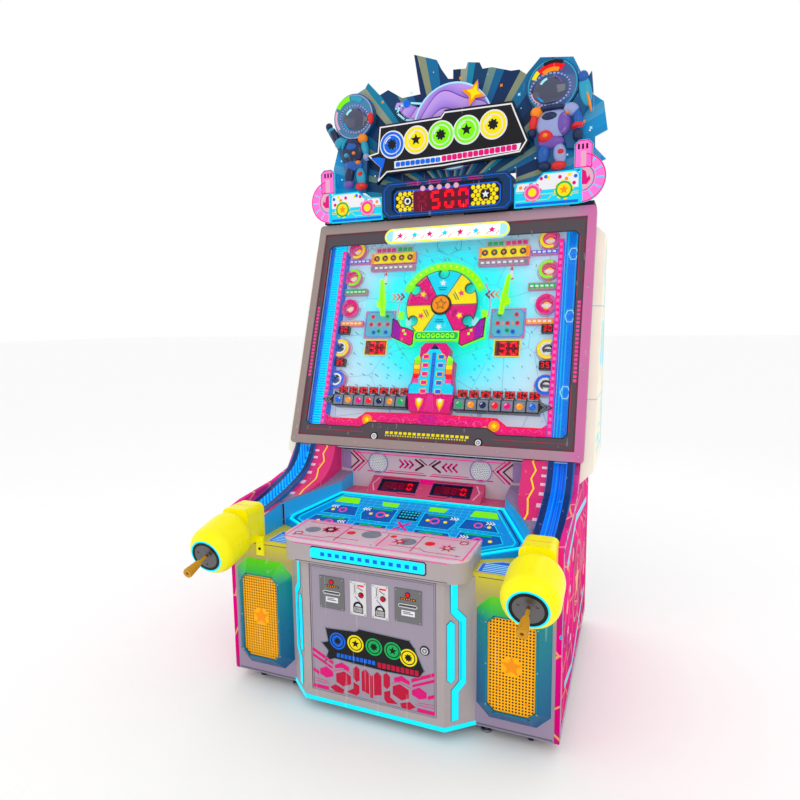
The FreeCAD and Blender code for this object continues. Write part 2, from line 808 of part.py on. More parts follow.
def door_bezel():
    half_width = door_half - rim_side
    panel = box(-half_width, half_width, rim_bottom, door_length - rim_top, -bezel_drop - bezel_sheet, -bezel_drop)
    panel = panel.cut(slab(bezel_opening(), -30, 30))
    holes = [stud(side * door_lock_x, door_lock_v, -30, 30, lock_radius + 0.3) for side in (-1, 1)]
    return leaned(panel.cut(holes))


def door_glass():
    back = -bezel_drop - bezel_sheet
    half_width = glass_half + glass_lap
    return leaned(box(-half_width, half_width, glass_low - glass_lap + 2, glass_high + glass_lap,
                      back - glass_sheet, back))


def door_top_light():
    height = top_light_high - top_light_low
    bar = box(-top_light_half, top_light_half, top_light_low, top_light_high, -bezel_drop, 8)
    upright = [e for e in bar.Edges if is_vertical(e)]
    return leaned(bar.makeFillet(height / 2 - 0.5, upright))


def door_lock(side):
    depth = field_w + 3 + bezel_drop
    lock = cam_lock(lock_radius, -depth, depth, 36.0)
    lock.translate(V(side * door_lock_x, door_lock_v, -bezel_drop))
    return leaned(lock)


# Playfield -------------------------------------------------------------------

def playfield_board():
    low, high = 0.0, door_length
    panel = box(-inner, inner, low, high, field_w - field_board, field_w)
    bores = [stud(0, wheel_v, -200, 0, shaft_radius + 2)]
    bores += [stud(side * flipper_x, flipper_v, field_w - sheet, 0, flipper_pin + running_gap) for side in (-1, 1)]
    shapes = [panel.cut(bores)]
    for side in (-1, 1):
        x0, x1 = side * door_lock_x - 20, side * door_lock_x + 20
        shapes.append(box(x0, x1, 0, 8, field_w, fitting_w))
        shapes.append(box(x0, x1, 0, 26, field_w + 12, fitting_w))
    return leaned(fused(shapes))


def rail_and_top():
    shapes = []
    x0, x1 = lane_inner, lane_inner + lane_wall
    tall = box(x0, x1, glass_low + 3, glass_high - 20, fitting_w - 1, -30)
    low = box(x0, x1, 0, glass_high - 20, field_w, fitting_w)
    outer = box(lane_outer, lane_outer + 6, 0, 1080, field_w, fitting_w)
    shapes += both_sides(fused([tall, low])) + both_sides(outer)
    arch = box(-lane_outer - 6, lane_outer + 6, 1080, 1086, field_w, fitting_w)
    return [leaned(shape) for shape in shapes + [arch]]


def prize_wheel():
    disc = stud(0, wheel_v, wheel_back, wheel_front, wheel_radius)
    for k in range(6):
        angle = math.radians(90 + 60 * k)
        r = wheel_radius - ball_pocket_radius * 0.75
        disc = disc.cut(stud(r * math.cos(angle), wheel_v + r * math.sin(angle), -99, 0, ball_pocket_radius))
    hub = stud(0, wheel_v, wheel_front - 1, wheel_front + 7, hub_radius)
    shaft = stud(0, wheel_v, field_w - 33, wheel_back + 1, shaft_radius)
    return leaned(fused([disc, hub, shaft]))


def wheel_motor():
    back = field_w - field_board
    case = box(-32, 32, wheel_v - 32, wheel_v + 32, back - 60, back)
    bore = stud(0, wheel_v, field_w - 34, 0, shaft_radius + running_gap)
    return leaned(case.cut(bore))


def wheel_surround():
    arc = stud(0, wheel_v, field_w, -55, arc_outer).cut(stud(0, wheel_v, -99, 0, arc_inner))
    spread = 400.0
    a = math.radians(arc_start_angle)
    keep = [(0, wheel_v), (spread * math.cos(a), wheel_v + spread * math.sin(a)), (spread, wheel_v + spread)]
    keep += [(-spread, wheel_v + spread), (-spread * math.cos(a), wheel_v + spread * math.sin(a))]
    arc = arc.common(slab(keep, -99, 0))
    guard = slab([(110, 495), (125, 487), (222, 529), (226, 624), (198, 612), (178, 582), (150, 575), (110, 560)],
                 -40, field_front)
    leg = box(180, 216, 535, 585, field_w, -39)
    sign = box(-110, 110, 513, 558, -40, field_front)
    return [leaned(shape) for shape in [arc, sign] + both_sides(fused([guard, leg]))]


def centre_column():
    right = [(94, 178), (110, 256), (110, 264), (95, 345), (95, 420), (70, 440), (70, 480), (50, 503)]
    body = slab(right + [(-x, v) for x, v in reversed(right)], field_w, field_front - 4)
    lamps = []
    for k in range(5):
        for x in (-36, 36):
            v = 274 + 40.5 * k
            lamps.append(box(x - 16, x + 16, v - 12, v + 12, field_front - 5, field_front))
    return leaned(fused([body] + lamps))


tray_start = 112.0
tray_end = 485.0
tray_pockets = 7


def catch_tray():
    front = slab([(tray_start, 192), (tray_end, 192), (544, 222), (tray_end, 247), (tray_start, 247)],
                 field_front - 6, field_front)
    shapes = [front, box(tray_start, tray_end, 192, 196, field_w, field_front - 5)]
    pitch = (tray_end - tray_start - 3) / tray_pockets
    for k in range(tray_pockets + 1):
        x = tray_start + k * pitch
        shapes.append(box(x, x + 3, 193, 262, field_w, field_front - 5))
    return leaned(fused(shapes))


def playfield_apron():
    right = [(lane_inner - 2, glass_low + 3), (lane_inner - 2, 150), (500, 135), (355, 135), (310, 168), (60, 174)]
    return leaned(slab(right + [(-x, v) for x, v in reversed(right)], field_w, -30))


pocket_centres = [(478, 997), (482, 852), (480, 691), (499, 485), (501, 326)]
pocket_bars = [(396, 517, 928, 948), (396, 519, 761, 792), (397, 519, 598, 625)]
upper_bars = [(156, 393, 919, 975), (157, 390, 885, 911)]
number_plates = [(261, 379, 453, 532), (234, 393, 540, 680)]
pocket_radius = 46.0


def scoring_fittings():
    keep_out = box(lane_inner - 2, 900, 0, 1200, -200, 0)
    shapes = []
    for x, v in pocket_centres:
        ring = stud(x, v, field_w, fitting_w, pocket_radius).cut(stud(x, v, -99, 0, pocket_radius * 0.62))
        shapes.append(ring.cut(keep_out))
    for x0, x1, v0, v1 in pocket_bars + upper_bars:
        shapes.append(box(x0, x1, v0, v1, field_w, fitting_w - 4))
    for x0, x1, v0, v1 in number_plates:
        shapes.append(box(x0, x1, v0, v1, field_w, field_w + 6))
    return [leaned(piece) for shape in shapes for piece in both_sides(shape)]


def flipper(side):
    bar = slab([(320, 828), (304, 828), (283, 725), (277, 642), (297, 642), (303, 680), (323, 690), (325, 712),
                (308, 724)], -44, -30)
    pin = stud(flipper_x, flipper_v, field_w - 7, -26, flipper_pin)
    shape = fused([bar, pin])
    return leaned(shape if side > 0 else mirrored(shape))


def clear_of_fittings(x, v):
    boxes = [(0, 135, 0, 520), (0, 240, 480, 650), (240, 385, 615, 860), (100, 560, 0, 285)]
    boxes += [bar for bar in pocket_bars + upper_bars + number_plates]
    margin = 14.0
    for x0, x1, v0, v1 in boxes:
        if x0 - margin < x < x1 + margin and v0 - margin < v < v1 + margin:
            return False
    for px, pv in pocket_centres:
        if math.hypot(x - px, v - pv) < pocket_radius + margin:
            return False
    return math.hypot(x, v - wheel_v) > arc_outer + margin and x < lane_inner - margin


def playfield_pins():
    nails = []
    for row in range(15):
        v = 304 + row * nail_row
        for k in range(8):
            x = (k + 0.5 * (row % 2)) * nail_pitch + 10
            if clear_of_fittings(x, v):
                nail = leaned(stud(x, v, field_w, fitting_w, nail_radius))
                nails += both_sides(nail)
    return nails


# Marquee ---------------------------------------------------------------------

def marquee_base():
    shelf = box(-half, half, base_front, cabinet_depth, base_low, base_high)
    y, z = on_slope(hinge_v, -hinge_set_back)
    pin = rod(hinge_moving[0][0], y, z, V(1, 0, 0), hinge_pin, hinge_moving[-1][1] - hinge_moving[0][0])
    leaf = [pin]
    for x0, x1 in hinge_fixed:
        leaf.append(rod(x0, y, z, V(1, 0, 0), hinge_knuckle, x1 - x0))
        leaf.append(box(x0, x1, y, y + 70, base_low - hinge_leaf, base_low))
    return [shelf, fused(leaf)]


def hinge_notch():
    return box(-900, 900, marquee_lip_back, 2 * cabinet_depth, 0, base_high)


def marquee_display():
    low, high = marquee_low, display_top
    outline = chamfered_rect(display_half, (high - low) / 2, 30, 0, (high + low) / 2)
    body = prism_xz(outline, display_front, marquee_back).cut(hinge_notch())
    recess = prism_xz(chamfered_rect(270, 60, 20, 0, 2062), display_front - 1, display_front + 12)
    cavity = box(20 - display_half, display_half - 20, display_front + 24, marquee_back + 1, base_high + 12, high - 12)
    return body.cut([recess, cavity])


def marquee_side_box():
    x0, x1 = display_half + 2, side_box_outer
    outline = [(x0, marquee_low), (x1, marquee_low), (x1, 2110), (585, 2125), (450, 2125), (415, 2092), (335, 2090),
               (x0, 2078)]
    body = prism_xz(outline, side_box_front, marquee_back).cut(hinge_notch())
    cavity = box(x0 + 12, x1 - 12, side_box_front + 12, marquee_back + 1, base_high + 12, 2076)
    return body.cut(cavity)


def ring_ornament():
    ring_z = marquee_low + 2 + ring_radius
    y0, y1 = side_box_front - 4, marquee_lip_back - 1
    disc = rod(ring_x, y0, ring_z, V(0, 1, 0), ring_radius, y1 - y0)
    disc = disc.common(box(side_box_outer, 900, 0, 2000, 0, 3000))
    stem = [(578, 2125), (655, 2125), (655, 2225), (637, 2243), (596, 2243), (578, 2225)]
    low_stem = [(side_box_outer, 2090), (655, 2090), (655, 2130), (side_box_outer, 2130)]
    return fused([disc, prism_xz(stem, y0, y1), prism_xz(low_stem, y0, y1)])


fan_outline = [
    (-600, 2126), (-605, 2258), (-560, 2400), (-560, 2560), (-421, 2616), (-405, 2639), (-345, 2574), (-300, 2591),
    (-228, 2544), (-136, 2548), (-166, 2728), (-84, 2698), (-54, 2686), (-34, 2646), (1, 2596), (25, 2592),
    (25, 2632), (85, 2627), (94, 2653), (149, 2643), (163, 2614), (206, 2614), (293, 2585), (329, 2584), (360, 2560),
    (420, 2620), (560, 2600), (640, 2440), (690, 2401), (708, 2286), (658, 2264), (659, 2218), (705, 2166),
    (590, 2126),
]


def backdrop_fan():
    outline = fan_outline + [(435, 2126), (400, 2100), (display_half, 2100), (display_half, display_top),
                             (-display_half, display_top), (-display_half, 2100), (-400, 2100), (-435, 2126)]
    return prism_xz(outline, fan_front, fan_front + fan_sheet)


def planet_ornament():
    y0 = fan_front - 22
    disc = rod(27, y0, 2379, V(0, 1, 0), 192, 22)
    tail = prism_xz([(-150, 2400), (-255, 2500), (-250, 2518), (-215, 2515), (-110, 2470)], y0, fan_front)
    star = []
    for k in range(8):
        r = 60 if k % 2 == 0 else 24
        a = math.radians(70 + 45 * k)
        star.append((130 + r * math.cos(a), 2503 + r * math.sin(a)))
    return [fused([disc, tail]), prism_xz(star, y0 - 12, y0)]


def title_plate():
    outline = [(-332, 2417), (-20, 2420), (0, 2445), (315, 2440), (330, 2400), (385, 2262), (355, 2215),
               (-10, 2191), (-300, 2190), (-347, 2148), (-330, 2215), (-395, 2280), (-345, 2290)]
    return prism_xz(outline, 830, fan_front - 22)


def astronauts():
    y0, y1 = marquee_lip_back + 1, fan_front
    left = [rod(-471, y0, 2480, V(0, 1, 0), 108, y1 - y0)]
    left.append(prism_xz([(-545, 2400), (-610, 2462), (-625, 2440), (-560, 2330), (-520, 2240), (-440, 2128),
                          (-415, 2128), (-400, 2300), (-410, 2400)], y0, y1))
    right = [rod(479, y0, 2484, V(0, 1, 0), 110, y1 - y0)]
    right.append(prism_xz([(395, 2390), (560, 2400), (640, 2520), (648, 2440), (600, 2330), (585, 2215), (545, 2220),
                           (525, 2300), (500, 2128), (440, 2128), (405, 2260)], y0, y1))
    title = title_plate()
    return [fused(left).cut(title), fused(right).cut(title)]


# Sides, floor and back --------------------------------------------------------

def side_light_box():
    w = -door_depth - touch_gap - 5
    foot_y, foot_z = on_slope(0, w)

    def front(z):
        return foot_y + (z - foot_z) * slope_sin / slope_cos

    outline = [(front(fin_low), fin_low), (cabinet_depth, fin_low), (cabinet_depth, fin_high), (front(fin_high), fin_high)]
    body = prism_yz(outline, half, half + fin_reach)
    outer = half + fin_reach
    top = prism_xz([(outer - fin_top_chamfer, fin_high), (outer, fin_high - fin_top_chamfer), (outer + 1, fin_high + 1)],
                   0, 2000)
    low = prism_xz([(half, fin_low), (outer, fin_low + fin_reach), (outer + 1, fin_low - 1)], 0, 2000)
    bottom, ceiling = fin_low + fin_reach + fin_skin, fin_high - fin_top_chamfer - fin_skin
    back = cabinet_depth - fin_skin
    space = [(front(bottom) + 2 * fin_skin, bottom), (back, bottom), (back, ceiling), (front(ceiling) + 2 * fin_skin, ceiling)]
    return body.cut([top, low, prism_yz(space, half - 1, outer - fin_skin)])


def levelling_foot(x, y):
    pad = rod(x, y, 0, V(0, 0, 1), 21, 9)
    pad = pad.makeChamfer(2, [e for e in pad.Edges if e.CenterOfMass.z > 8 and not is_vertical(e)])
    stem = rod(x, y, 8, V(0, 0, 1), 6, floor_gap - 8)
    nut = rod(x, y, floor_gap - 9, V(0, 0, 1), 11, 9)
    return fused([pad, stem, nut])


def caster_fork(x, y):
    gap = caster_width / 2 + 2
    plate_top = box(x - 24, x + 24, y - 24, y + 24, floor_gap - 4, floor_gap)
    cheeks = [box(x + side * (gap + 1.5) - 1.5, x + side * (gap + 1.5) + 1.5, y - 12, y + 12, caster_axle_z - 8,
                  floor_gap - 3) for side in (-1, 1)]
    axle = rod(x - gap - 3, y, caster_axle_z, V(1, 0, 0), caster_axle, 2 * gap + 6)
    return fused([plate_top] + cheeks + [axle])


def caster_wheel(x, y):
    tyre = rod(x - caster_width / 2, y, caster_axle_z, V(1, 0, 0), caster_wheel_radius, caster_width)
    tyre = tyre.makeFillet(3, [e for e in tyre.Edges if e.Curve.TypeId == "Part::GeomCircle"])
    return tyre.cut(rod(x - 30, y, caster_axle_z, V(1, 0, 0), caster_axle + running_gap, 60))


def floor_hardware():
    pieces = []
    for y in foot_rows:
        for side in (-1, 1):
            pieces.append(levelling_foot(side * foot_x, y))
            pieces.append(caster_fork(side * caster_x, y))
    return pieces


def power_inlet():
    flange = box(inlet_x - 30, inlet_x + 30, cabinet_depth, cabinet_depth + plate, inlet_z - 20, inlet_z + 20)
    body = box(inlet_x - 24, inlet_x + 24, cabinet_depth - 30, cabinet_depth, inlet_z - 14, inlet_z + 14)
    socket = box(inlet_x - 12.5, inlet_x + 12.5, cabinet_depth - 14, cabinet_depth + 9, inlet_z - 8.5, inlet_z + 8.5)
    return fused([flange, body]).cut(socket)


def save(name, shape):
    shapes = shape if isinstance(shape, list) else [shape]
    whole = shapes[0].copy() if len(shapes) == 1 else Part.makeCompound(shapes)
    whole.translate(V(0, -origin_y, 0))
    whole.exportStep("parts/" + name + ".step")
    print(name, len(whole.Solids), "solids", round(whole.Volume / 1000.0, 1), "cm3")


def build():
    os.makedirs("parts", exist_ok=True)
    print("origin_y", round(origin_y, 4))
    save("side_panel_right", side_panel())
    save("side_panel_left", mirrored(side_panel()))
    save("bottom_plate", bottom_plate())
    save("back_panel", back_panel())
    save("service_door", service_door())
    save("wing_fronts", both_sides(wing_front()))
    save("speaker_bezels", both_sides(speaker_bezel()))
    save("speaker_grilles", both_sides(speaker_grille()))
    save("speakers", speakers())
    save("console_shell", console_shell())
    save("console_head", console_head())
    save("console_top", console_top())
    save("console_lights", console_lights())
    save("coin_door", coin_door())
    save("coin_acceptors", [coin_acceptor(x) for x in acceptor_left_edges])
    save("coin_return_button_left", coin_return_button(acceptor_left_edges[0]))
    save("coin_return_button_right", coin_return_button(acceptor_left_edges[1]))
    save("ticket_outlets", [ticket_outlet(x) for x in ticket_left_edges])
    save("coin_door_lock", coin_door_lock())
    save("deck_panel", deck_panel())
    save("deck_surround", both_sides(deck_wall()) + both_sides(track_skirt()) + ramp_cheek())
    save("score_panel", score_panel())
    save("speaker_panel", speaker_panel())
    save("launch_tracks", both_sides(launch_track()))
    save("launcher_housings", both_sides(launcher_housing()))
    save("launcher_end_plates", both_sides(end_plate()))
    save("plunger_right", plunger())
    save("plunger_left", [mirrored(shape) for shape in plunger()])
    save("door_frame", door_frame())
    save("door_bezel", door_bezel())
    save("door_glass", door_glass())
    save("door_top_light", door_top_light())
    save("door_lock_right", door_lock(1))
    save("door_lock_left", door_lock(-1))
    save("playfield_board", playfield_board())
    save("lane_rails", rail_and_top())
    save("prize_wheel", prize_wheel())
    save("wheel_motor", wheel_motor())
    save("wheel_surround", wheel_surround())
    save("centre_column", centre_column())
    save("catch_trays", both_sides(catch_tray()))
    save("playfield_apron", playfield_apron())
    save("scoring_fittings", scoring_fittings())
    save("playfield_pins", playfield_pins())
    save("flipper_right", flipper(1))
    save("flipper_left", flipper(-1))
    save("marquee_base", marquee_base())
    save("marquee_display", marquee_display())
    save("marquee_side_boxes", both_sides(marquee_side_box()) + both_sides(ring_ornament()))
    save("backdrop_fan", backdrop_fan())
    save("planet_ornament", planet_ornament())
    save("title_plate", title_plate())
    save("astronauts", astronauts())
    save("side_light_boxes", both_sides(side_light_box()))
    save("floor_hardware", floor_hardware())
    names = ("front_left", "front_right", "rear_left", "rear_right")
    places = [(side * caster_x, y) for y in foot_rows for side in (-1, 1)]
    for name, (x, y) in zip(names, places):
        save("caster_wheel_" + name, caster_wheel(x, y))
    save("power_inlet", power_inlet())


build()
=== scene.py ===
import bpy
import bmesh
import json
import math
from mathutils import Matrix, Vector

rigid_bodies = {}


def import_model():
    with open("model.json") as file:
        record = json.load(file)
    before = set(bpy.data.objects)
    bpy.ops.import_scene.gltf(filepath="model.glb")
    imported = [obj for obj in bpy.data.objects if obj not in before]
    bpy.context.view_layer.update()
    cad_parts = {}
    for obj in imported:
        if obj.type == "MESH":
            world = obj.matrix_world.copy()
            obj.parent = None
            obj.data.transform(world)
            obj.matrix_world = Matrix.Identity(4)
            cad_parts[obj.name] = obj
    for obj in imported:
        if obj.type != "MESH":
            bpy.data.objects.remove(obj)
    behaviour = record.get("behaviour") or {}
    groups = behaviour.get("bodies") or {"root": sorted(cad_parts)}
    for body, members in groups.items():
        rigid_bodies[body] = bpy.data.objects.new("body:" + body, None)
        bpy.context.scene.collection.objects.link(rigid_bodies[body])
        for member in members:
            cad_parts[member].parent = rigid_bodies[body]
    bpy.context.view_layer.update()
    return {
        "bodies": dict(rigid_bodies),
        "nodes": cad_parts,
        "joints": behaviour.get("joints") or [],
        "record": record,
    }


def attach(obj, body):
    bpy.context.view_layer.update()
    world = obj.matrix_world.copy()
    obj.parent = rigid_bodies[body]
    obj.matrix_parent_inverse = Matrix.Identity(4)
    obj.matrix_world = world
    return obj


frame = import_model()
cadNodes = frame["nodes"]
print("frame loaded", len(cadNodes), "nodes")

# Driving places in millimetres, measured from the front face of the wings
setup = {
    "frontToOrigin": 338.988,   # wing front to the middle of the footprint
    "doorFoot": (497.4, 918.2),  # bottom front edge of the glass door, y and z
    "lean": math.radians(19),
    "launcher": (589.0, -235.0, 633.0),
    "launcherTilt": math.radians(14),
    "deckBack": (442.0, 713.0),
    "deckFall": 58.0 / 229.0,
    "layer": 0.5,               # thickness of printed and lit layers
}
sinLean, cosLean = math.sin(setup["lean"]), math.cos(setup["lean"])
sinTilt, cosTilt = math.sin(setup["launcherTilt"]), math.cos(setup["launcherTilt"])


def mm(x, y, z):
    return Vector((x, y - setup["frontToOrigin"], z)) / 1000


# Places: each turns a flat (a, b) and a height above the surface into a point
def onSlope(level):
    footY, footZ = setup["doorFoot"]

    def place(a, b, h):
        w = level + h
        return mm(a, footY + b * sinLean - w * cosLean, footZ + b * cosLean + w * sinLean)
    return place


def onFront(y):
    return lambda a, b, h: mm(a, y - h, b)


def onBack(y):
    return lambda a, b, h: mm(a, y + h, b)


def onSide(x):
    return lambda a, b, h: mm(x + math.copysign(h, x), a, b)


def onTop(z):
    return lambda a, b, h: mm(a, b, z + h)


def onDeck(a, b, h):
    backY, backZ = setup["deckBack"]
    return mm(a, b, backZ + (b - backY) * setup["deckFall"] + h)


def onChamfer(side):
    run = math.hypot(90, 77)
    ux, uy = 90 / run, 77 / run

    def place(a, b, h):
        return mm(side * (279 + a * ux + h * uy), a * uy - 77 - h * ux, b)
    return place


def onScore(a, b, h):
    tilt = math.atan2(59, 101)
    return mm(a, 464 + b * math.cos(tilt) - h * math.sin(tilt),
              715 + b * math.sin(tilt) + h * math.cos(tilt))


def onLauncher(side, level):
    cx, cy, cz = setup["launcher"]

    def place(a, b, h):
        out = level + h
        return mm(side * (cx + a), cy - b * sinTilt - out * cosTilt, cz + b * cosTilt - out * sinTilt)
    return place


# Flat outlines
def rect(x0, x1, y0, y1):
    return [(x0, y0), (x1, y0), (x1, y1), (x0, y1)]


def chamfered(x0, x1, y0, y1, c):
    return [(x0 + c, y0), (x1 - c, y0), (x1, y0 + c), (x1, y1 - c), (x1 - c, y1), (x0 + c, y1),
            (x0, y1 - c), (x0, y0 + c)]


def disc(x, y, r, count=32):
    return [(x + r * math.cos(2 * math.pi * k / count), y + r * math.sin(2 * math.pi * k / count))
            for k in range(count)]


def arcBand(x, y, r0, r1, start, end, count=24):
    angles = [math.radians(start + (end - start) * k / count) for k in range(count + 1)]
    outer = [(x + r1 * math.cos(a), y + r1 * math.sin(a)) for a in angles]
    inner = [(x + r0 * math.cos(a), y + r0 * math.sin(a)) for a in reversed(angles)]
    return outer + inner


def ring(x, y, r0, r1, count=20):
    return [arcBand(x, y, r0, r1, 0, 180, count), arcBand(x, y, r0, r1, 180, 360, count)]


def star(x, y, r, inner, points=5, turn=90):
    out = []
    for k in range(points * 2):
        a = math.radians(turn + 180 * k / points)
        size = r if k % 2 == 0 else inner
        out.append((x + size * math.cos(a), y + size * math.sin(a)))
    return out


def stroke(points, width, closed=False):
    pieces = []
    following = points[1:] + (points[:1] if closed else [])
    for (ax, ay), (bx, by) in zip(points, following):
        length = math.hypot(bx - ax, by - ay) or 1
        ux, uy = (bx - ax) / length, (by - ay) / length
        nx, ny = -uy * width / 2, ux * width / 2
        ex, ey = ux * width * 0.4, uy * width * 0.4
        pieces.append([(ax - ex + nx, ay - ey + ny), (ax - ex - nx, ay - ey - ny),
                       (bx + ex - nx, by + ey - ny), (bx + ex + nx, by + ey + ny)])
    return pieces


def chevrons(x, y, size, width, count, pitch, direction=1):
    out = []
    for k in range(count):
        cx = x + k * pitch * direction
        out += stroke([(cx, y - size), (cx + size * direction, y), (cx, y + size)], width)
    return out


def mirrorShapes(shapes):
    return [[(-a, b) for a, b in reversed(shape)] for shape in shapes]


def bothSides(shapes):
    return shapes + mirrorShapes(shapes)


hands = ((-1, "Left"), (1, "Right"))
digitSegments = {"0": "abcdef", "1": "bc", "2": "abged", "3": "abgcd", "5": "afgcd", "8": "abcdefg"}


def digits(text, x, y, height):
    shapes = []
    width, bar, pitch = height * 0.58, height * 0.165, height * 0.8
    for k, symbol in enumerate(text):
        cx = x + (k - (len(text) - 1) / 2) * pitch
        spots = {
            "a": rect(cx - width / 2 + bar / 2, cx + width / 2 - bar / 2, y + height / 2 - bar,
                      y + height / 2),
            "g": rect(cx - width / 2 + bar / 2, cx + width / 2 - bar / 2, y - bar / 2, y + bar / 2),
            "d": rect(cx - width / 2 + bar / 2, cx + width / 2 - bar / 2, y - height / 2,
                      y - height / 2 + bar),
            "f": rect(cx - width / 2, cx - width / 2 + bar, y + bar * 0.7, y + height / 2 - bar * 0.7),
            "e": rect(cx - width / 2, cx - width / 2 + bar, y - height / 2 + bar * 0.7, y - bar * 0.7),
            "b": rect(cx + width / 2 - bar, cx + width / 2, y + bar * 0.7, y + height / 2 - bar * 0.7),
            "c": rect(cx + width / 2 - bar, cx + width / 2, y - height / 2 + bar * 0.7, y - bar * 0.7),
        }
        shapes += [spots[key] for key in spots if key in digitSegments[symbol]]
    return shapes


# Shader helpers
def addMath(tree, operation, a, b=0.0, clamp=False):
    node = tree.nodes.new("ShaderNodeMath")
    node.operation = operation
    node.use_clamp = clamp
    for socket, value in zip(node.inputs, (a, b)):
        if isinstance(value, bpy.types.NodeSocket):
            tree.links.new(value, socket)
        else:
            socket.default_value = value
    return node.outputs[0]


def mixColour(tree, factor, a, b):
    node = tree.nodes.new("ShaderNodeMix")
    node.data_type = "RGBA"
    for key, value in ((0, factor), (6, a), (7, b)):
        if isinstance(value, bpy.types.NodeSocket):
            tree.links.new(value, node.inputs[key])
        elif key == 0:
            node.inputs[0].default_value = value
        else:
            node.inputs[key].default_value = (*value, 1)
    return node.outputs[2]


def makeGroup(name, inputs, outputs):
    group = bpy.data.node_groups.new(name, "ShaderNodeTree")
    for label, value in inputs:
        socket = group.interface.new_socket(label, in_out="INPUT", socket_type="NodeSocketFloat")
        socket.default_value = value
    for label in outputs:
        group.interface.new_socket(label, in_out="OUTPUT", socket_type="NodeSocketFloat")
    return group, group.nodes.new("NodeGroupInput"), group.nodes.new("NodeGroupOutput")


# Fine grain, soft blotches and small scratches that every finish shares
def buildWearGroup():
    group, source, sink = makeGroup("surfaceWear", [("Grain scale", 900.0), ("Blotch scale", 6.0),
                                                    ("Scratch scale", 60.0)], ["Grain", "Blotch",
                                                            "Scratch"])
    place = group.nodes.new("ShaderNodeTexCoord").outputs["Object"]
    for label, target, detail in (("Grain scale", "Grain", 2.0), ("Blotch scale", "Blotch", 5.0)):
        noise = group.nodes.new("ShaderNodeTexNoise")
        noise.inputs["Detail"].default_value = detail
        group.links.new(place, noise.inputs["Vector"])
        group.links.new(source.outputs[label], noise.inputs["Scale"])
        group.links.new(noise.outputs["Fac"], sink.inputs[target])
    stretch = group.nodes.new("ShaderNodeMapping")
    stretch.inputs["Scale"].default_value = (1.0, 1.0, 0.06)
    stretch.inputs["Rotation"].default_value = (0.4, 0.2, 0.6)
    lines = group.nodes.new("ShaderNodeTexNoise")
    lines.inputs["Detail"].default_value = 1.0
    group.links.new(place, stretch.inputs["Vector"])
    group.links.new(stretch.outputs["Vector"], lines.inputs["Vector"])
    group.links.new(source.outputs["Scratch scale"], lines.inputs["Scale"])
    sharp = addMath(group, "GREATER_THAN", lines.outputs["Fac"], 0.72)
    group.links.new(sharp, sink.inputs["Scratch"])
    return group


wearGroup = buildWearGroup()


def finishMaterial(name, colour, rough=0.35, metallic=0.0, glow=0.0, glowColour=None, coat=0.0, bump=0.15,
                   grain=900.0, vary=0.12, alpha=1.0, clear=0.0, pattern=None, gloss=0.18):
    material = bpy.data.materials.new(name)
    material.use_nodes = True
    tree = material.node_tree
    shader = tree.nodes["Principled BSDF"]
    wear = tree.nodes.new("ShaderNodeGroup")
    wear.node_tree = wearGroup
    wear.inputs["Grain scale"].default_value = grain
    blotch = wear.outputs["Blotch"]
    if pattern:
        tone = mixColour(tree, addMath(tree, "MULTIPLY", blotch, vary), pattern(tree), (0.03, 0.03, 0.04))
    else:
        tone = mixColour(tree, blotch, tuple(c * (1 - vary) for c in colour), colour)
    worn = mixColour(tree, addMath(tree, "MULTIPLY", wear.outputs["Scratch"], 0.12), tone, (0.8, 0.8, 0.8))
    tree.links.new(worn, shader.inputs["Base Color"])
    spread = addMath(tree, "MULTIPLY_ADD", blotch, 0.25)
    spread.node.inputs[2].default_value = max(rough - 0.12, 0.02)
    tree.links.new(spread, shader.inputs["Roughness"])
    relief = tree.nodes.new("ShaderNodeBump")
    relief.inputs["Strength"].default_value = bump
    relief.inputs["Distance"].default_value = 0.0004
    tree.links.new(wear.outputs["Grain"], relief.inputs["Height"])
    tree.links.new(relief.outputs["Normal"], shader.inputs["Normal"])
    shader.inputs["Metallic"].default_value = metallic
    shader.inputs["Specular IOR Level"].default_value = 0.5 if metallic else gloss
    shader.inputs["Coat Weight"].default_value = coat
    shader.inputs["Alpha"].default_value = alpha
    shader.inputs["Transmission Weight"].default_value = clear
    if glow:
        tint = glowColour or colour
        light = worn if pattern else mixColour(tree, blotch, tuple(c * 0.85 for c in tint), tint)
        tree.links.new(light, shader.inputs["Emission Color"])
        shader.inputs["Emission Strength"].default_value = glow
    return material


def objectAxes(tree, location=(0, 0, 0), rotation=(0, 0, 0)):
    place = tree.nodes.new("ShaderNodeTexCoord").outputs["Object"]
    mapping = tree.nodes.new("ShaderNodeMapping")
    mapping.vector_type = "TEXTURE"
    mapping.inputs["Location"].default_value = location
    mapping.inputs["Rotation"].default_value = rotation
    tree.links.new(place, mapping.inputs["Vector"])
    split = tree.nodes.new("ShaderNodeSeparateXYZ")
    tree.links.new(mapping.outputs["Vector"], split.inputs["Vector"])
    return mapping.outputs["Vector"], split.outputs


def ramp(tree, factor, stops, constant=False):
    node = tree.nodes.new("ShaderNodeValToRGB")
    node.color_ramp.interpolation = "CONSTANT" if constant else "LINEAR"
    elements = node.color_ramp.elements
    while len(elements) < len(stops):
        elements.new(0.5)
    for element, (position, colour) in zip(elements, stops):
        element.position = position
        element.color = (*colour, 1)
    tree.links.new(factor, node.inputs["Fac"])
    return node.outputs["Color"]


def edgeLines(tree, vector, scale, width):
    cells = tree.nodes.new("ShaderNodeTexVoronoi")
    cells.feature = "DISTANCE_TO_EDGE"
    cells.inputs["Scale"].default_value = scale
    tree.links.new(vector, cells.inputs["Vector"])
    return addMath(tree, "LESS_THAN", cells.outputs["Distance"], width)


def dots(tree, vector, scale, size):
    cells = tree.nodes.new("ShaderNodeTexVoronoi")
    cells.inputs["Scale"].default_value = scale
    tree.links.new(vector, cells.inputs["Vector"])
    return addMath(tree, "LESS_THAN", cells.outputs["Distance"], size)


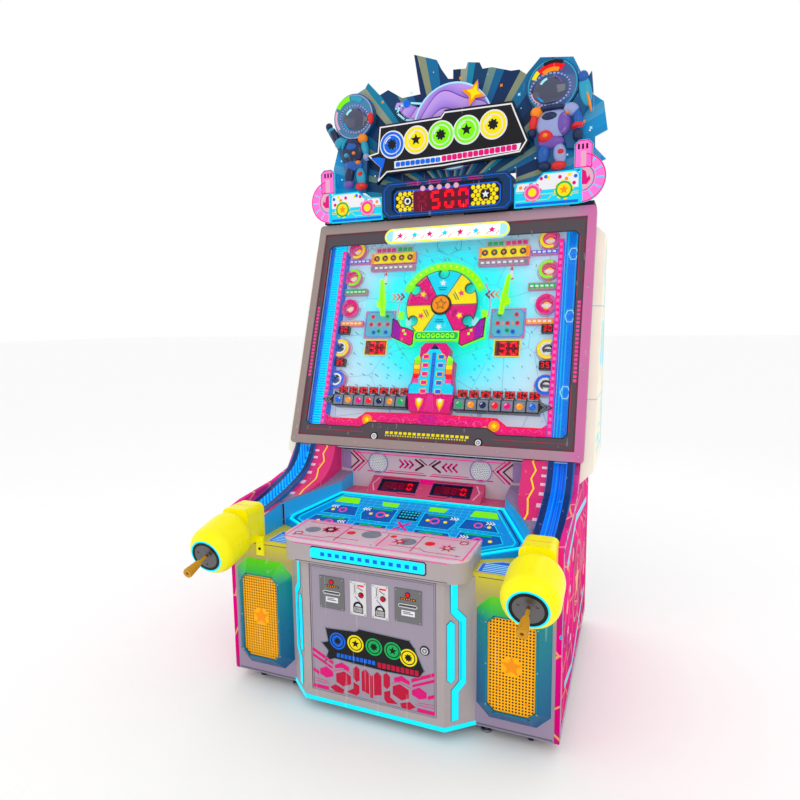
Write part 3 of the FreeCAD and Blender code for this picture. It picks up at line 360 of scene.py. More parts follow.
doorFootPoint = mm(0, *setup["doorFoot"])
slopeTurn = (math.pi / 2 - setup["lean"], 0, 0)


# Playfield print: pale board, cyan glow round the wheel, fine line art. The pale outer tones and the glow
# also carry painted haze, a painted reflection of the door glass.
def fieldPattern(tree):
    vector, axes = objectAxes(tree, doorFootPoint, slopeTurn)
    rise = addMath(tree, "SUBTRACT", axes["Y"], 0.66)
    radius = addMath(tree, "SQRT", addMath(tree, "ADD", addMath(tree, "MULTIPLY", axes["X"], axes["X"]),
                                           addMath(tree, "MULTIPLY", rise, rise)))
    glow = ramp(tree, radius, [(0.0, (0.0, 0.70, 0.60)), (0.20, (0.0, 0.74, 0.72)),
                               (0.31, (0.03, 0.70, 0.82)), (0.44, (0.28, 0.62, 0.74)),
                               (0.60, (0.50, 0.62, 0.72))])
    lined = mixColour(tree, addMath(tree, "MULTIPLY", edgeLines(tree, vector, 6.0, 0.008), 0.55), glow,
                      (0.10, 0.22, 0.42))
    return mixColour(tree, addMath(tree, "MULTIPLY", dots(tree, vector, 16.0, 0.06), 0.6), lined,
                     (0.04, 0.12, 0.30))


# Rays of towers behind the marquee figures
def fanPattern(tree):
    vector, axes = objectAxes(tree, mm(20, 0, 2050))
    angle = addMath(tree, "ARCTAN2", axes["Z"], axes["X"])
    banded = addMath(tree, "FRACT", addMath(tree, "MULTIPLY", angle, 1.27))
    rays = ramp(tree, banded, [(0.0, (0.0, 0.035, 0.13)), (0.13, (0.0, 0.13, 0.30)),
                               (0.24, (0.22, 0.25, 0.15)), (0.31, (0.0, 0.02, 0.09)),
                               (0.46, (0.0, 0.10, 0.26)), (0.54, (0.12, 0.22, 0.20)),
                               (0.62, (0.0, 0.04, 0.12)), (0.76, (0.0, 0.20, 0.34)),
                               (0.83, (0.26, 0.30, 0.22)), (0.90, (0.0, 0.02, 0.07))], True)
    far = addMath(tree, "GREATER_THAN", addMath(tree, "ABSOLUTE", axes["X"]), 0.46)
    sided = mixColour(tree, addMath(tree, "MULTIPLY", far, 0.60), rays, (0.0, 0.36, 0.78))
    return mixColour(tree, dots(tree, vector, 22.0, 0.06), sided, (0.55, 0.75, 0.70))


# Cabinet side: magenta fading to pink, with slanted bands and gold lines
def sidePattern(tree):
    vector, axes = objectAxes(tree, mm(0, 0, 0))
    fade = addMath(tree, "MULTIPLY_ADD", axes["Z"], 0.9)
    fade.node.inputs[2].default_value = -0.1
    base = ramp(tree, fade, [(0.0, (0.62, 0.0, 0.17)), (0.40, (0.85, 0.0, 0.24)),
                             (0.65, (0.72, 0.03, 0.26)), (1.0, (0.62, 0.28, 0.48))])
    slant = addMath(tree, "FRACT", addMath(tree, "MULTIPLY", addMath(tree, "ADD", axes["Y"], axes["Z"]),
                                           2.2))
    band = addMath(tree, "LESS_THAN", slant, 0.22)
    shaped = mixColour(tree, addMath(tree, "MULTIPLY", band, 0.5), base, (0.30, 0.02, 0.16))
    lined = mixColour(tree, addMath(tree, "MULTIPLY", edgeLines(tree, vector, 5.0, 0.014), 0.7), shaped,
                      (0.85, 0.50, 0.10))
    return mixColour(tree, dots(tree, vector, 14.0, 0.11), lined, (0.0, 0.45, 0.60))


# Side light boxes: cream, washed cyan towards the door, with fine cross seams
def lightBoxPattern(tree):
    axes = objectAxes(tree)[1]
    seams = addMath(tree, "LESS_THAN", addMath(tree, "FRACT", addMath(tree, "MULTIPLY", axes["Z"], 2.6)),
                    0.012)
    cream = ramp(tree, addMath(tree, "ADD", axes["Y"], 0.6),
                 [(0.0, (0.10, 0.66, 0.80)), (0.42, (0.40, 0.76, 0.78)), (0.60, (0.80, 0.80, 0.68)),
                  (1.0, (0.84, 0.80, 0.66))])
    return mixColour(tree, addMath(tree, "MULTIPLY", seams, 0.6), cream, (0.05, 0.50, 0.62))


# Launch track: navy edges, bright blue channel with light lines, ribbed cyan on the left
def trackPattern(tree):
    axes = objectAxes(tree, mm(0, 0, 0))[1]
    offset = addMath(tree, "ABSOLUTE", addMath(tree, "SUBTRACT", addMath(tree, "ABSOLUTE", axes["X"]),
                                               0.590))
    lines = ramp(tree, addMath(tree, "MULTIPLY", offset, 36.0),
                 [(0.0, (0.0, 0.17, 0.80)), (0.14, (0.0, 0.42, 0.98)), (0.20, (0.0, 0.12, 0.62)),
                  (0.42, (0.0, 0.22, 0.88)), (0.62, (0.02, 0.55, 1.0)), (0.70, (0.0, 0.24, 0.85))], True)
    ribs = addMath(tree, "GREATER_THAN", addMath(tree, "FRACT", addMath(tree, "MULTIPLY", axes["Y"], 42.0)),
                   0.4)
    left = addMath(tree, "LESS_THAN", axes["X"], 0.0)
    channelTone = mixColour(tree, addMath(tree, "MULTIPLY", left, ribs), lines, (0.02, 0.62, 0.98))
    edge = addMath(tree, "GREATER_THAN", offset, 0.049)
    rail = mixColour(tree, edge, (0.0, 0.022, 0.13), (0.0, 0.10, 0.36))
    return mixColour(tree, addMath(tree, "LESS_THAN", offset, 0.0262), rail, channelTone)


# Deck surround: purple-grey gutter, pink printed ramps with a yellow zigzag, blue-lit walls
def surroundPattern(tree):
    axes = objectAxes(tree, mm(0, 0, 0))[1]
    across = addMath(tree, "ABSOLUTE", axes["X"])
    gutter = addMath(tree, "MULTIPLY_ADD", axes["Y"], 0.1552)
    gutter.node.inputs[2].default_value = 0.6953
    above = addMath(tree, "GREATER_THAN", axes["Z"], addMath(tree, "ADD", gutter, 0.004))
    saw = addMath(tree, "ABSOLUTE", addMath(tree, "SUBTRACT",
                                            addMath(tree, "FRACT", addMath(tree, "MULTIPLY", axes["Z"],
                                                    16.0)), 0.5))
    line = addMath(tree, "ADD", addMath(tree, "MULTIPLY", saw, 0.03), 0.478)
    zigzag = addMath(tree, "LESS_THAN", addMath(tree, "ABSOLUTE", addMath(tree, "SUBTRACT", across, line)),
                     0.0035)
    pink = mixColour(tree, zigzag, (0.66, 0.02, 0.16), (0.95, 0.62, 0.0))
    ribs = addMath(tree, "LESS_THAN", addMath(tree, "FRACT", addMath(tree, "MULTIPLY", axes["Z"], 34.0)),
                   0.3)
    dash = addMath(tree, "MULTIPLY", addMath(tree, "GREATER_THAN", across, 0.517), ribs)
    printed = mixColour(tree, dash, pink, (0.80, 0.50, 0.62))
    floorTone = addMath(tree, "LESS_THAN", axes["Z"], addMath(tree, "SUBTRACT", gutter, 0.003))
    low = mixColour(tree, floorTone, (0.22, 0.17, 0.30), (0.02, 0.34, 0.72))
    return mixColour(tree, above, low, printed)


# Wings: grey-lilac, warmer towards the launchers
def wingPattern(tree):
    axes = objectAxes(tree)[1]
    return ramp(tree, axes["Z"], [(0.0, (0.32, 0.25, 0.38)), (0.44, (0.40, 0.32, 0.38)),
                                  (0.54, (0.50, 0.42, 0.14)), (0.61, (0.74, 0.64, 0.03))])


# Speaker bezel: deep blue sides, teal face, lit top facet
def bezelPattern(tree):
    axes = objectAxes(tree)[1]
    return ramp(tree, axes["Z"], [(0.08, (0.0, 0.07, 0.20)), (0.30, (0.0, 0.14, 0.25)),
                                  (0.47, (0.0, 0.22, 0.24)), (0.505, (0.04, 0.50, 0.06)),
                                  (0.54, (0.12, 0.66, 0.01))])


def planetPattern(tree):
    axes = objectAxes(tree, mm(27, 0, 2379))[1]
    bend = addMath(tree, "ADD", addMath(tree, "MULTIPLY", axes["X"], axes["X"]),
                   addMath(tree, "MULTIPLY", axes["Z"], 0.30))
    wave = addMath(tree, "MULTIPLY", addMath(tree, "SINE", addMath(tree, "MULTIPLY", axes["X"], 26.0)),
                   0.006)
    bands = addMath(tree, "FRACT", addMath(tree, "MULTIPLY", addMath(tree, "ADD", bend, wave), 44.0))
    return ramp(tree, bands, [(0.0, (0.30, 0.17, 0.64)), (0.5, (0.44, 0.27, 0.74)),
                              (0.90, (0.50, 0.30, 0.72)), (0.93, (0.10, 0.04, 0.36)),
                              (0.97, (0.10, 0.04, 0.36)), (1.0, (0.30, 0.17, 0.64))])


# Door rim: warm grey on the left, turning pink towards the right-hand edge
def rimPattern(tree):
    axes = objectAxes(tree)[1]
    across = addMath(tree, "MULTIPLY_ADD", axes["X"], 0.74)
    across.node.inputs[2].default_value = 0.5
    return ramp(tree, across, [(0.0, (0.34, 0.26, 0.24)), (0.5, (0.37, 0.27, 0.26)),
                               (0.93, (0.46, 0.25, 0.34)), (0.98, (0.62, 0.16, 0.38))])


colours = {
    "cyan": (0.0, 0.70, 0.93), "blue": (0.0, 0.14, 0.78), "navy": (0.0, 0.015, 0.09),
           "pink": (0.90, 0.06, 0.36),
    "magenta": (0.76, 0.0, 0.20), "yellow": (0.95, 0.78, 0.0), "lime": (0.22, 0.92, 0.0),
           "orange": (0.98, 0.30, 0.0),
    "red": (0.92, 0.0, 0.01), "white": (0.84, 0.84, 0.88), "black": (0.006, 0.006, 0.009),
           "wine": (0.13, 0.0, 0.02),
    "lilac": (0.36, 0.26, 0.54), "green": (0.0, 0.45, 0.10), "grey": (0.13, 0.13, 0.16),
           "teal": (0.0, 0.20, 0.28),
    "beige": (0.50, 0.42, 0.36), "paleCyan": (0.40, 0.86, 0.98), "purple": (0.34, 0.0, 0.38),
           "bronze": (0.30, 0.10, 0.02),
    "slate": (0.20, 0.23, 0.30), "blush": (0.80, 0.42, 0.56), "maroon": (0.28, 0.0, 0.03),
           "maroonRed": (0.55, 0.0, 0.04), "hotPink": (0.98, 0.14, 0.52), "azure": (0.0, 0.36, 0.95),
}
ink = {key: finishMaterial("ink" + key.capitalize(), value, rough=0.3, coat=0.05, bump=0.05)
       for key, value in colours.items()}
lit = {key: finishMaterial("lit" + key.capitalize(), tuple(c * 0.45 for c in value), rough=0.3, glow=0.62,
                           glowColour=value, bump=0.03) for key, value in colours.items()
       if key not in ("black", "wine", "grey")}
bright = {key: finishMaterial("bright" + key.capitalize(), tuple(c * 0.3 for c in colours[key]), rough=0.3,
                              glow=1.15,
                              glowColour=colours[key], bump=0.03)
          for key in ("cyan", "red", "lime", "white", "yellow", "paleCyan", "magenta", "hotPink")}
metals = {
    "chrome": finishMaterial("polishedMetal", (0.75, 0.76, 0.78), rough=0.16, metallic=1.0, bump=0.05,
                             vary=0.05),
    "steel": finishMaterial("zincSteel", (0.42, 0.42, 0.44), rough=0.38, metallic=1.0, grain=300.0),
    "brass": finishMaterial("nailBrass", (0.30, 0.32, 0.36), rough=0.22, metallic=1.0),
}
finishes = {
    # side film print with a faint painted glow; the panel is no lamp
    "sideArt": finishMaterial("sideFilmPaintedGlow", None, rough=0.7, pattern=sidePattern, glow=0.12, gloss=0.02),
    "boardDark": finishMaterial("darkPaint", (0.02, 0.02, 0.025), rough=0.5, bump=0.3, grain=500.0),
    "wing": finishMaterial("wingFilm", None, rough=0.35, coat=0.05, pattern=wingPattern),
    "bezel": finishMaterial("bezelPlastic", None, rough=0.25, coat=0.1, pattern=bezelPattern, glow=0.15),
    # orange grille paint with a faint painted glow; the grille is no lamp
    "grille": finishMaterial("grillePaintPaintedGlow", (0.98, 0.42, 0.0), rough=0.45, glow=0.12, bump=0.3, vary=0.06),
    "cone": finishMaterial("conePaper", (0.02, 0.02, 0.022), rough=0.7, bump=0.5, grain=300.0),
    "console": finishMaterial("consolePlastic", (0.46, 0.40, 0.41), rough=0.35, coat=0.03, vary=0.18),
    "coinDoor": finishMaterial("coinDoorPaint", (0.36, 0.31, 0.39), rough=0.32, coat=0.05, bump=0.2,
                               vary=0.15),
    "plateWhite": finishMaterial("plateWhite", (0.74, 0.72, 0.74), rough=0.25, coat=0.1),
    "topBoard": finishMaterial("topBoardPrint", (0.74, 0.56, 0.64), rough=0.25, coat=0.1, vary=0.25),
    "plateGrey": finishMaterial("plateGrey", (0.17, 0.17, 0.18), rough=0.4, bump=0.3),
    "deckPrint": finishMaterial("deckPrint", (0.0, 0.24, 0.66), rough=0.2, coat=0.1, glow=0.3),
    "surround": finishMaterial("surroundPrint", None, rough=0.3, coat=0.05, pattern=surroundPattern,
                               glow=0.15),
    "track": finishMaterial("trackPrint", None, rough=0.25, coat=0.05, pattern=trackPattern, glow=0.25),
    # score panel print with a faint painted glow; the panel is no lamp
    "score": finishMaterial("scorePanelPrintPaintedGlow", (0.56, 0.06, 0.16), rough=0.3, coat=0.05, glow=0.1),
    # yellow launcher plastic with a faint painted glow; the housing is no lamp
    "yellow": finishMaterial("launcherPlasticPaintedGlow", (0.95, 0.86, 0.0), rough=0.28, coat=0.12, glow=0.05,
                             bump=0.08, vary=0.05),
    "grip": finishMaterial("gripPlastic", (0.62, 0.30, 0.01), rough=0.35, coat=0.1),
    "endPlate": finishMaterial("endPlateMetal", (0.16, 0.15, 0.15), rough=0.3, metallic=1.0, grain=300.0),
    "rim": finishMaterial("rimPlastic", None, rough=0.38, coat=0.05, pattern=rimPattern),
    "doorBezel": finishMaterial("bezelPaint", (0.085, 0.068, 0.082), rough=0.35, coat=0.03),
    "glass": finishMaterial("doorGlass", (0.95, 0.98, 0.98), rough=0.1, alpha=0.08, clear=1.0, bump=0.0,
                            vary=0.02),
    # playfield print; its pale tones and glow carry painted haze of the door glass
    "field": finishMaterial("fieldPrintAndPaintedHaze", None, rough=0.3, coat=0.03, pattern=fieldPattern, glow=0.45),
    "deckTile": finishMaterial("deckTile", (0.0, 0.09, 0.42), rough=0.25, glow=0.25, vary=0.2),
    "laneLit": finishMaterial("laneLit", (0.0, 0.18, 0.72), rough=0.3, glow=0.6, vary=0.2),
    "plateLit": finishMaterial("plateLit", (0.10, 0.42, 0.56), rough=0.3, glow=0.3, vary=0.3),
    "laneDark": finishMaterial("laneRail", (0.0, 0.13, 0.66), rough=0.25, glow=0.3),
    "wheel": finishMaterial("wheelDisc", (0.02, 0.02, 0.06), rough=0.25, coat=0.1),
    "arc": finishMaterial("arcGuards", (0.10, 0.60, 0.0), rough=0.3, glow=0.6, glowColour=(0.2, 1.0, 0.0)),
    "column": finishMaterial("columnPrint", (0.50, 0.0, 0.14), rough=0.25, coat=0.07, glow=0.2),
    "tray": finishMaterial("trayPlastic", (0.05, 0.055, 0.07), rough=0.3, coat=0.05),
    "apron": finishMaterial("apronPrint", (0.70, 0.0, 0.14), rough=0.3, glow=0.5, vary=0.3),
    "fittings": finishMaterial("fittingPlastic", (0.60, 0.10, 0.28), rough=0.3, coat=0.07, glow=0.25),
    "lime": finishMaterial("flipperPlastic", (0.30, 0.75, 0.0), rough=0.3, glow=0.5,
                           glowColour=(0.4, 1.0, 0.0)),
    "display": finishMaterial("displayBox", (0.0, 0.035, 0.13), rough=0.3, coat=0.07),
    "sideBox": finishMaterial("sideBoxPrint", (0.0, 0.56, 0.80), rough=0.3, coat=0.05, glow=0.25),
    "fan": finishMaterial("fanPrint", None, rough=0.35, coat=0.03, pattern=fanPattern, glow=0.12),
    "planet": finishMaterial("planetPrint", None, rough=0.35, coat=0.03, pattern=planetPattern, glow=0.15),
    "title": finishMaterial("titleEdge", (0.006, 0.006, 0.01), rough=0.35, coat=0.05),
    "figure": finishMaterial("figurePlastic", (0.01, 0.09, 0.24), rough=0.35, coat=0.1),
    "lightBox": finishMaterial("lightBoxSheet", None, rough=0.6, pattern=lightBoxPattern, glow=0.2,
                               gloss=0.04),
    "rubber": finishMaterial("casterRubber", (0.02, 0.02, 0.02), rough=0.7, bump=0.4, grain=400.0),
    "visor": finishMaterial("visorGloss", (0.01, 0.02, 0.07), rough=0.08, coat=1.0, bump=0.0, gloss=0.5),
}
print("materials made")

nodeFinish = {
    "side_panel_left": "sideArt", "side_panel_right": "sideArt", "bottom_plate": "boardDark",
              "back_panel": "boardDark",
    "service_door": "boardDark", "wing_fronts": "wing", "speaker_bezels": "bezel",
              "speaker_grilles": "grille",
    "speakers": "cone", "console_shell": "console", "console_head": "console", "console_top": "topBoard",
    "console_lights": "litCyan", "coin_door": "coinDoor", "coin_acceptors": "plateWhite",
    "coin_return_button_left": "inkRed", "coin_return_button_right": "inkRed",
              "ticket_outlets": "plateGrey",
    "coin_door_lock": "chrome", "deck_panel": "deckPrint", "deck_surround": "surround",
              "score_panel": "score",
    "speaker_panel": "topBoard", "launch_tracks": "track", "launcher_housings": "yellow",
    "launcher_end_plates": "endPlate", "plunger_left": "grip", "plunger_right": "grip", "door_frame": "rim",
    "door_bezel": "doorBezel", "door_glass": "glass", "door_top_light": "litPaleCyan",
              "door_lock_left": "chrome",
    "door_lock_right": "chrome", "playfield_board": "field", "lane_rails": "laneDark",
              "prize_wheel": "wheel",
    "wheel_motor": "steel", "wheel_surround": "arc", "centre_column": "column", "catch_trays": "tray",
    "playfield_apron": "apron", "scoring_fittings": "fittings", "playfield_pins": "brass",
              "flipper_left": "lime",
    "flipper_right": "lime", "marquee_base": "boardDark", "marquee_display": "display",
              "marquee_side_boxes": "sideBox",
    "backdrop_fan": "fan", "planet_ornament": "planet", "title_plate": "title", "astronauts": "figure",
    "side_light_boxes": "lightBox", "floor_hardware": "steel", "caster_wheel_front_left": "rubber",
    "caster_wheel_front_right": "rubber", "caster_wheel_rear_left": "rubber",
              "caster_wheel_rear_right": "rubber",
    "power_inlet": "boardDark",
}
named = {**finishes, **metals}
named["litCyan"], named["litPaleCyan"], named["inkRed"] = bright["cyan"], lit["paleCyan"], ink["red"]
for nodeName, node in cadNodes.items():
    node.data.materials.clear()
    node.data.materials.append(named[nodeFinish[nodeName]])


# Pieces
def newPiece(name, mesh, material, body):
    mesh.materials.append(material)
    piece = bpy.data.objects.new(name, mesh)
    bpy.context.scene.collection.objects.link(piece)
    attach(piece, body)
    return piece


# Thin closed layers with the given outlines, each a little proud of its surface
def layer(name, place, shapes, material, body="cabinet", base=0.0, height=None):
    height = setup["layer"] if height is None else height
    build = bmesh.new()
    for outline in shapes:
        low = [build.verts.new(place(a, b, base)) for a, b in outline]
        high = [build.verts.new(place(a, b, base + height)) for a, b in outline]
        build.faces.new(low)
        build.faces.new(high)
        for k in range(len(outline)):
            n = (k + 1) % len(outline)
            build.faces.new((low[k], low[n], high[n], high[k]))
    bmesh.ops.recalc_face_normals(build, faces=build.faces)
    bmesh.ops.triangulate(build, faces=[f for f in build.faces if len(f.verts) > 4])
    mesh = bpy.data.meshes.new(name)
    build.to_mesh(mesh)
    build.free()
    return newPiece(name, mesh, material, body)


# Dots, screws and ribs come from one tree: a shape set on each point of a point mesh
def buildScatterTree():
    tree = bpy.data.node_groups.new("setOnPoints", "GeometryNodeTree")
    tree.interface.new_socket("Geometry", in_out="INPUT", socket_type="NodeSocketGeometry")
    for label, value in (("Radius", 0.004), ("Top radius", 0.003), ("Height", 0.001)):
        socket = tree.interface.new_socket(label, in_out="INPUT", socket_type="NodeSocketFloat")
        socket.default_value = value
    sides = tree.interface.new_socket("Sides", in_out="INPUT", socket_type="NodeSocketInt")
    sides.default_value = 8
    tree.interface.new_socket("Turn", in_out="INPUT", socket_type="NodeSocketRotation")
    tree.interface.new_socket("Material", in_out="INPUT", socket_type="NodeSocketMaterial")
    tree.interface.new_socket("Geometry", in_out="OUTPUT", socket_type="NodeSocketGeometry")
    source, sink = tree.nodes.new("NodeGroupInput"), tree.nodes.new("NodeGroupOutput")
    cone = tree.nodes.new("GeometryNodeMeshCone")
    cone.fill_type = "NGON"
    tree.links.new(source.outputs["Sides"], cone.inputs["Vertices"])
    tree.links.new(source.outputs["Top radius"], cone.inputs["Radius Top"])
    tree.links.new(source.outputs["Radius"], cone.inputs["Radius Bottom"])
    tree.links.new(source.outputs["Height"], cone.inputs["Depth"])
    place = tree.nodes.new("GeometryNodeInstanceOnPoints")
    tree.links.new(source.outputs["Geometry"], place.inputs["Points"])
    tree.links.new(cone.outputs["Mesh"], place.inputs["Instance"])
    tree.links.new(source.outputs["Turn"], place.inputs["Rotation"])
    real = tree.nodes.new("GeometryNodeRealizeInstances")
    dress = tree.nodes.new("GeometryNodeSetMaterial")
    tree.links.new(place.outputs["Instances"], real.inputs["Geometry"])
    tree.links.new(real.outputs["Geometry"], dress.inputs["Geometry"])
    tree.links.new(source.outputs["Material"], dress.inputs["Material"])
    tree.links.new(dress.outputs["Geometry"], sink.inputs["Geometry"])
    return tree


scatterTree = buildScatterTree()


def scatter(name, place, spots, radius, height, material, body="cabinet", sides=8, top=None):
    points = bpy.data.meshes.new(name + "Points")
    points.from_pydata([place(a, b, height * 500) for a, b in spots], [], [])
    holder = bpy.data.objects.new(name + "Points", points)
    bpy.context.scene.collection.objects.link(holder)
    origin, side, up, out = (place(*p) for p in ((0, 0, 0), (1, 0, 0), (0, 1, 0), (0, 0, 1)))
    basis = Matrix([(side - origin).normalized(), (up - origin).normalized(),
                    (out - origin).normalized()]).transposed()
    if basis.determinant() < 0:
        basis.col[0] = -basis.col[0]
    modifier = holder.modifiers.new("set", "NODES")
    modifier.node_group = scatterTree
    values = {"Radius": radius, "Top radius": radius * 0.8 if top is None else top, "Height": height,
              "Sides": sides, "Material": material, "Turn": basis.to_euler()}
    for item in scatterTree.interface.items_tree:
        if item.in_out == "INPUT" and item.name in values:
            modifier[item.identifier] = values[item.name]
    bpy.context.view_layer.update()
    graph = bpy.context.evaluated_depsgraph_get()
    mesh = bpy.data.meshes.new_from_object(holder.evaluated_get(graph))
    mesh.name = name
    holder.modifiers.clear()
    bpy.data.objects.remove(holder)
    mesh.materials.clear()
    return newPiece(name, mesh, material, body)


# Playfield
field = {"wheelV": 695.0, "wheelR": 173.0, "pocketR": 24.0, "surface": -77.0}


def wheelSector(turn, pocket, outer):
    centre = field["wheelV"]
    reach = field["wheelR"] - field["pocketR"] * 0.75
    gap = math.degrees(math.acos((outer ** 2 + reach ** 2 - pocket ** 2) / (2 * outer * reach)))
    bite = math.degrees(math.acos((outer * math.cos(math.radians(gap)) - reach) / pocket))
    cx, cy = reach * math.cos(math.radians(turn)), centre + reach * math.sin(math.radians(turn))

    def arc(x, y, radius, start, end, count):
        angles = [math.radians(start + (end - start) * k / count) for k in range(count + 1)]
        return [(x + radius * math.cos(a), y + radius * math.sin(a)) for a in angles]
    face = (arc(0, centre, outer, turn - 29, turn - gap, 5)
            + arc(cx, cy, pocket, turn - bite, turn - 360 + bite, 18)
            + arc(0, centre, outer, turn + gap, turn + 29, 5) + arc(0, centre, 51, turn + 28, turn - 28, 8))
    edge = [arcBand(cx, cy, pocket - 3.5, pocket, turn + bite + 6, turn + 354 - bite, 18)]
    return face, edge


def buildWheel():
    face = onSlope(-45.0)
    v, r = field["wheelV"], field["wheelR"]
    groups, edges = {}, []
    for k in range(6):
        shape, edge = wheelSector(90 + 60 * k, field["pocketR"] + 3.5, r - 4)
        groups.setdefault(("cyan", "magenta", "yellow")[k % 3], []).append(shape)
        edges += edge
    for key, shapes in groups.items():
        layer("wheelSectors" + key.capitalize(), face, shapes, lit[key], "wheel")
    layer("wheelPocketEdges", face, edges, ink["black"], "wheel", height=0.8)
    spots = [(108 * math.cos(math.radians(90 + 60 * k)), v + 108 * math.sin(math.radians(90 + 60 * k)))
             for k in range(6)]
    for tone, start in (("white", 0), ("yellow", 1), ("magenta", 2)):
        stars = [star(*spots[k], 17, 8, 5, 90 + 60 * k) for k in range(start, 6, 3)]
        layer("wheelStars" + tone.capitalize(), face, stars, lit[tone], "wheel", base=0.5, height=0.4)
    bars = []
    for k in range(6):
        a = math.radians(90 + 60 * k)
        across, along = (-math.sin(a), math.cos(a)), (math.cos(a), math.sin(a))
        for reach, half in ((74, 16), (84, 20)):
            x, y = along[0] * reach, v + along[1] * reach
            bars += stroke([(x - across[0] * half, y - across[1] * half),
                            (x + across[0] * half, y + across[1] * half)], 4)
    layer("wheelBars", face, bars, ink["navy"], "wheel", base=0.5, height=0.4)
    hub = onSlope(-38.0)
    layer("wheelHubFace", hub, [disc(0, v, 44)], ink["orange"], "wheel", height=0.3)
    layer("wheelHubRings", hub, ring(0, v, 41, 47.5), ink["black"], "wheel", base=0.3)
    layer("wheelHubStar", hub, [star(0, v, 31, 14)], ink["bronze"], "wheel", base=0.3)
    layer("wheelHubStarCore", hub, [star(0, v, 20, 9)], ink["orange"], "wheel", base=0.8, height=0.3)


def buildSurround():
    v = field["wheelV"]
    layer("wheelRing", onSlope(-55.0), [arcBand(0, v, 182, 190, 24, 156), arcBand(0, v, 206, 212, 24, 156)],
          bright["lime"])
    layer("haloRing", onSlope(field["surface"]), [arcBand(0, v, 222, 227, -30, 30, 16),
                                                  arcBand(0, v, 222, 227, 150, 210, 16)], lit["pink"])
    layer("ringTicks", onSlope(-55.0), [arcBand(0, v, 193, 203, a, a + 3, 2) for a in range(27, 152, 9)],
          lit["yellow"], height=0.8)
    front = onSlope(-19.0)
    guard = [(112, 497), (126, 490), (220, 531), (223, 620), (200, 610), (180, 580), (151, 573), (112, 558)]
    layer("guardFaces", front, bothSides([guard]), lit["magenta"])
    layer("guardWings", front, bothSides([[(178, 514), (220, 531), (223, 620), (200, 610), (180, 580)]]),
          ink["purple"], base=0.5)
    layer("guardEdges", front, bothSides(stroke(guard, 4.5, True)), ink["black"], base=0.9)
    layer("guardLamps", front, bothSides([rect(148, 158, 540, 550), rect(158, 168, 556, 566)]),
          bright["lime"], base=0.6, height=1)
    layer("signFace", front, [chamfered(-106, 106, 516, 555, 10)], lit["green"])
    layer("signEdge", front, stroke(chamfered(-106, 106, 516, 555, 10), 4, True), bright["lime"], base=0.5)
    bars = [chamfered(-92 + 23 * k, -74 + 23 * k, 525, 547, 5) for k in range(8)]
    layer("signBars", front, bars, bright["lime"], base=0.5)
    layer("signMarks", front, [rect(-88 + 23 * k, -78 + 23 * k, 532 + 4 * (k % 2), 538 + 4 * (k % 2))
                               for k in range(8)], ink["navy"], base=1.0)
    layer("footLamps", onSlope(field["surface"]), bothSides([rect(192, 216, 636, 672)]), bright["lime"],
          height=14)


def buildColumn():
    front = onSlope(-23.0)
    base = [(92, 180), (107, 257), (107, 263), (93, 344), (93, 418), (68, 438), (68, 480), (50, 500)]
    layer("columnBase", front, [base + [(-a, b) for a, b in reversed(base)]], lit["magenta"])
    rocket = [(58, 268), (58, 436), (34, 458), (22, 474), (0, 499)]
    layer("columnRocket", front, [rocket + [(-a, b) for a, b in reversed(rocket[:-1])]], lit["cyan"],
          base=0.5)
    layer("columnNose", front, [[(-23, 472), (23, 472), (0, 499)]], ink["navy"], base=1.0)
    layer("columnSpine", front, [rect(-9, 9, 268, 456)], lit["blue"], base=1.0)
    layer("columnRivets", front, [disc(0, 276 + 14 * k, 2.6, 10) for k in range(13)], ink["slate"],
          base=1.5)
    layer("columnFins", front, bothSides([[(58, 352), (80, 322), (106, 300), (106, 264), (58, 264)]]),
          lit["cyan"], base=1.2, height=1)
    layer("columnFinEdges", front, bothSides(stroke([(58, 352), (80, 322), (106, 300), (106, 264)], 4)),
          lit["blue"], base=2.2)
    lamps, frames = [], []
    for k in range(5):
        v = 274 + 40.5 * k
        lamps.append(chamfered(24, 48, v - 9, v + 9, 3))
        frames += stroke(chamfered(21.5, 50.5, v - 10.5, v + 10.5, 3), 2.5, True)
    layer("columnWindowsLeft", onSlope(-19.0), mirrorShapes(lamps), bright["magenta"])
    layer("columnWindowsRight", onSlope(-19.0), lamps, lit["blue"])
    layer("columnFrames", onSlope(-19.0), bothSides(frames), lit["yellow"], base=0.2)
    for k, tone in enumerate(["lime", "yellow", "orange", "red", "pink"]):
        v = 420 - 22 * k
        layer("booster" + tone.capitalize(), front, bothSides([rect(63, 91, v - 20, v)]), lit[tone],
              base=0.6, height=2.5)
    layer("boosterNoses", front, bothSides([[(64, 421), (92, 421), (84, 434), (70, 442)]]), bright["lime"],
          base=0.6, height=2.5)
    flames = [[(x - 19, 240), (x + 19, 240), (x + 16, 216), (x, 184), (x - 16, 216)] for x in (-50, 50)]
    layer("columnFlames", front, flames, lit["orange"], base=1.0)
    layer("flameCores", front, [[(x - 13, 240), (x + 13, 240), (x + 10, 220), (x, 200), (x - 10, 220)]
                                for x in (-50, 50)], lit["yellow"], base=1.6)
    layer("flameDiscs", front, [disc(x, 234, 9, 16) for x in (-50, 50)], lit["white"], base=2.2)
    layer("columnRays", front, [shape for x in (-20, -10, 0, 10, 20)
                                for shape in stroke([(x * 0.5, 258), (x, 186)], 2)], lit["pink"], base=0.6)


trays = {"start": 112.0, "end": 485.0, "pockets": 7,
         "icons": ["green", "orange", "navy", "red", "magenta", "orange", "blue"],
         "values": ["20", "20", "25", "25", "30", "30", "35"]}


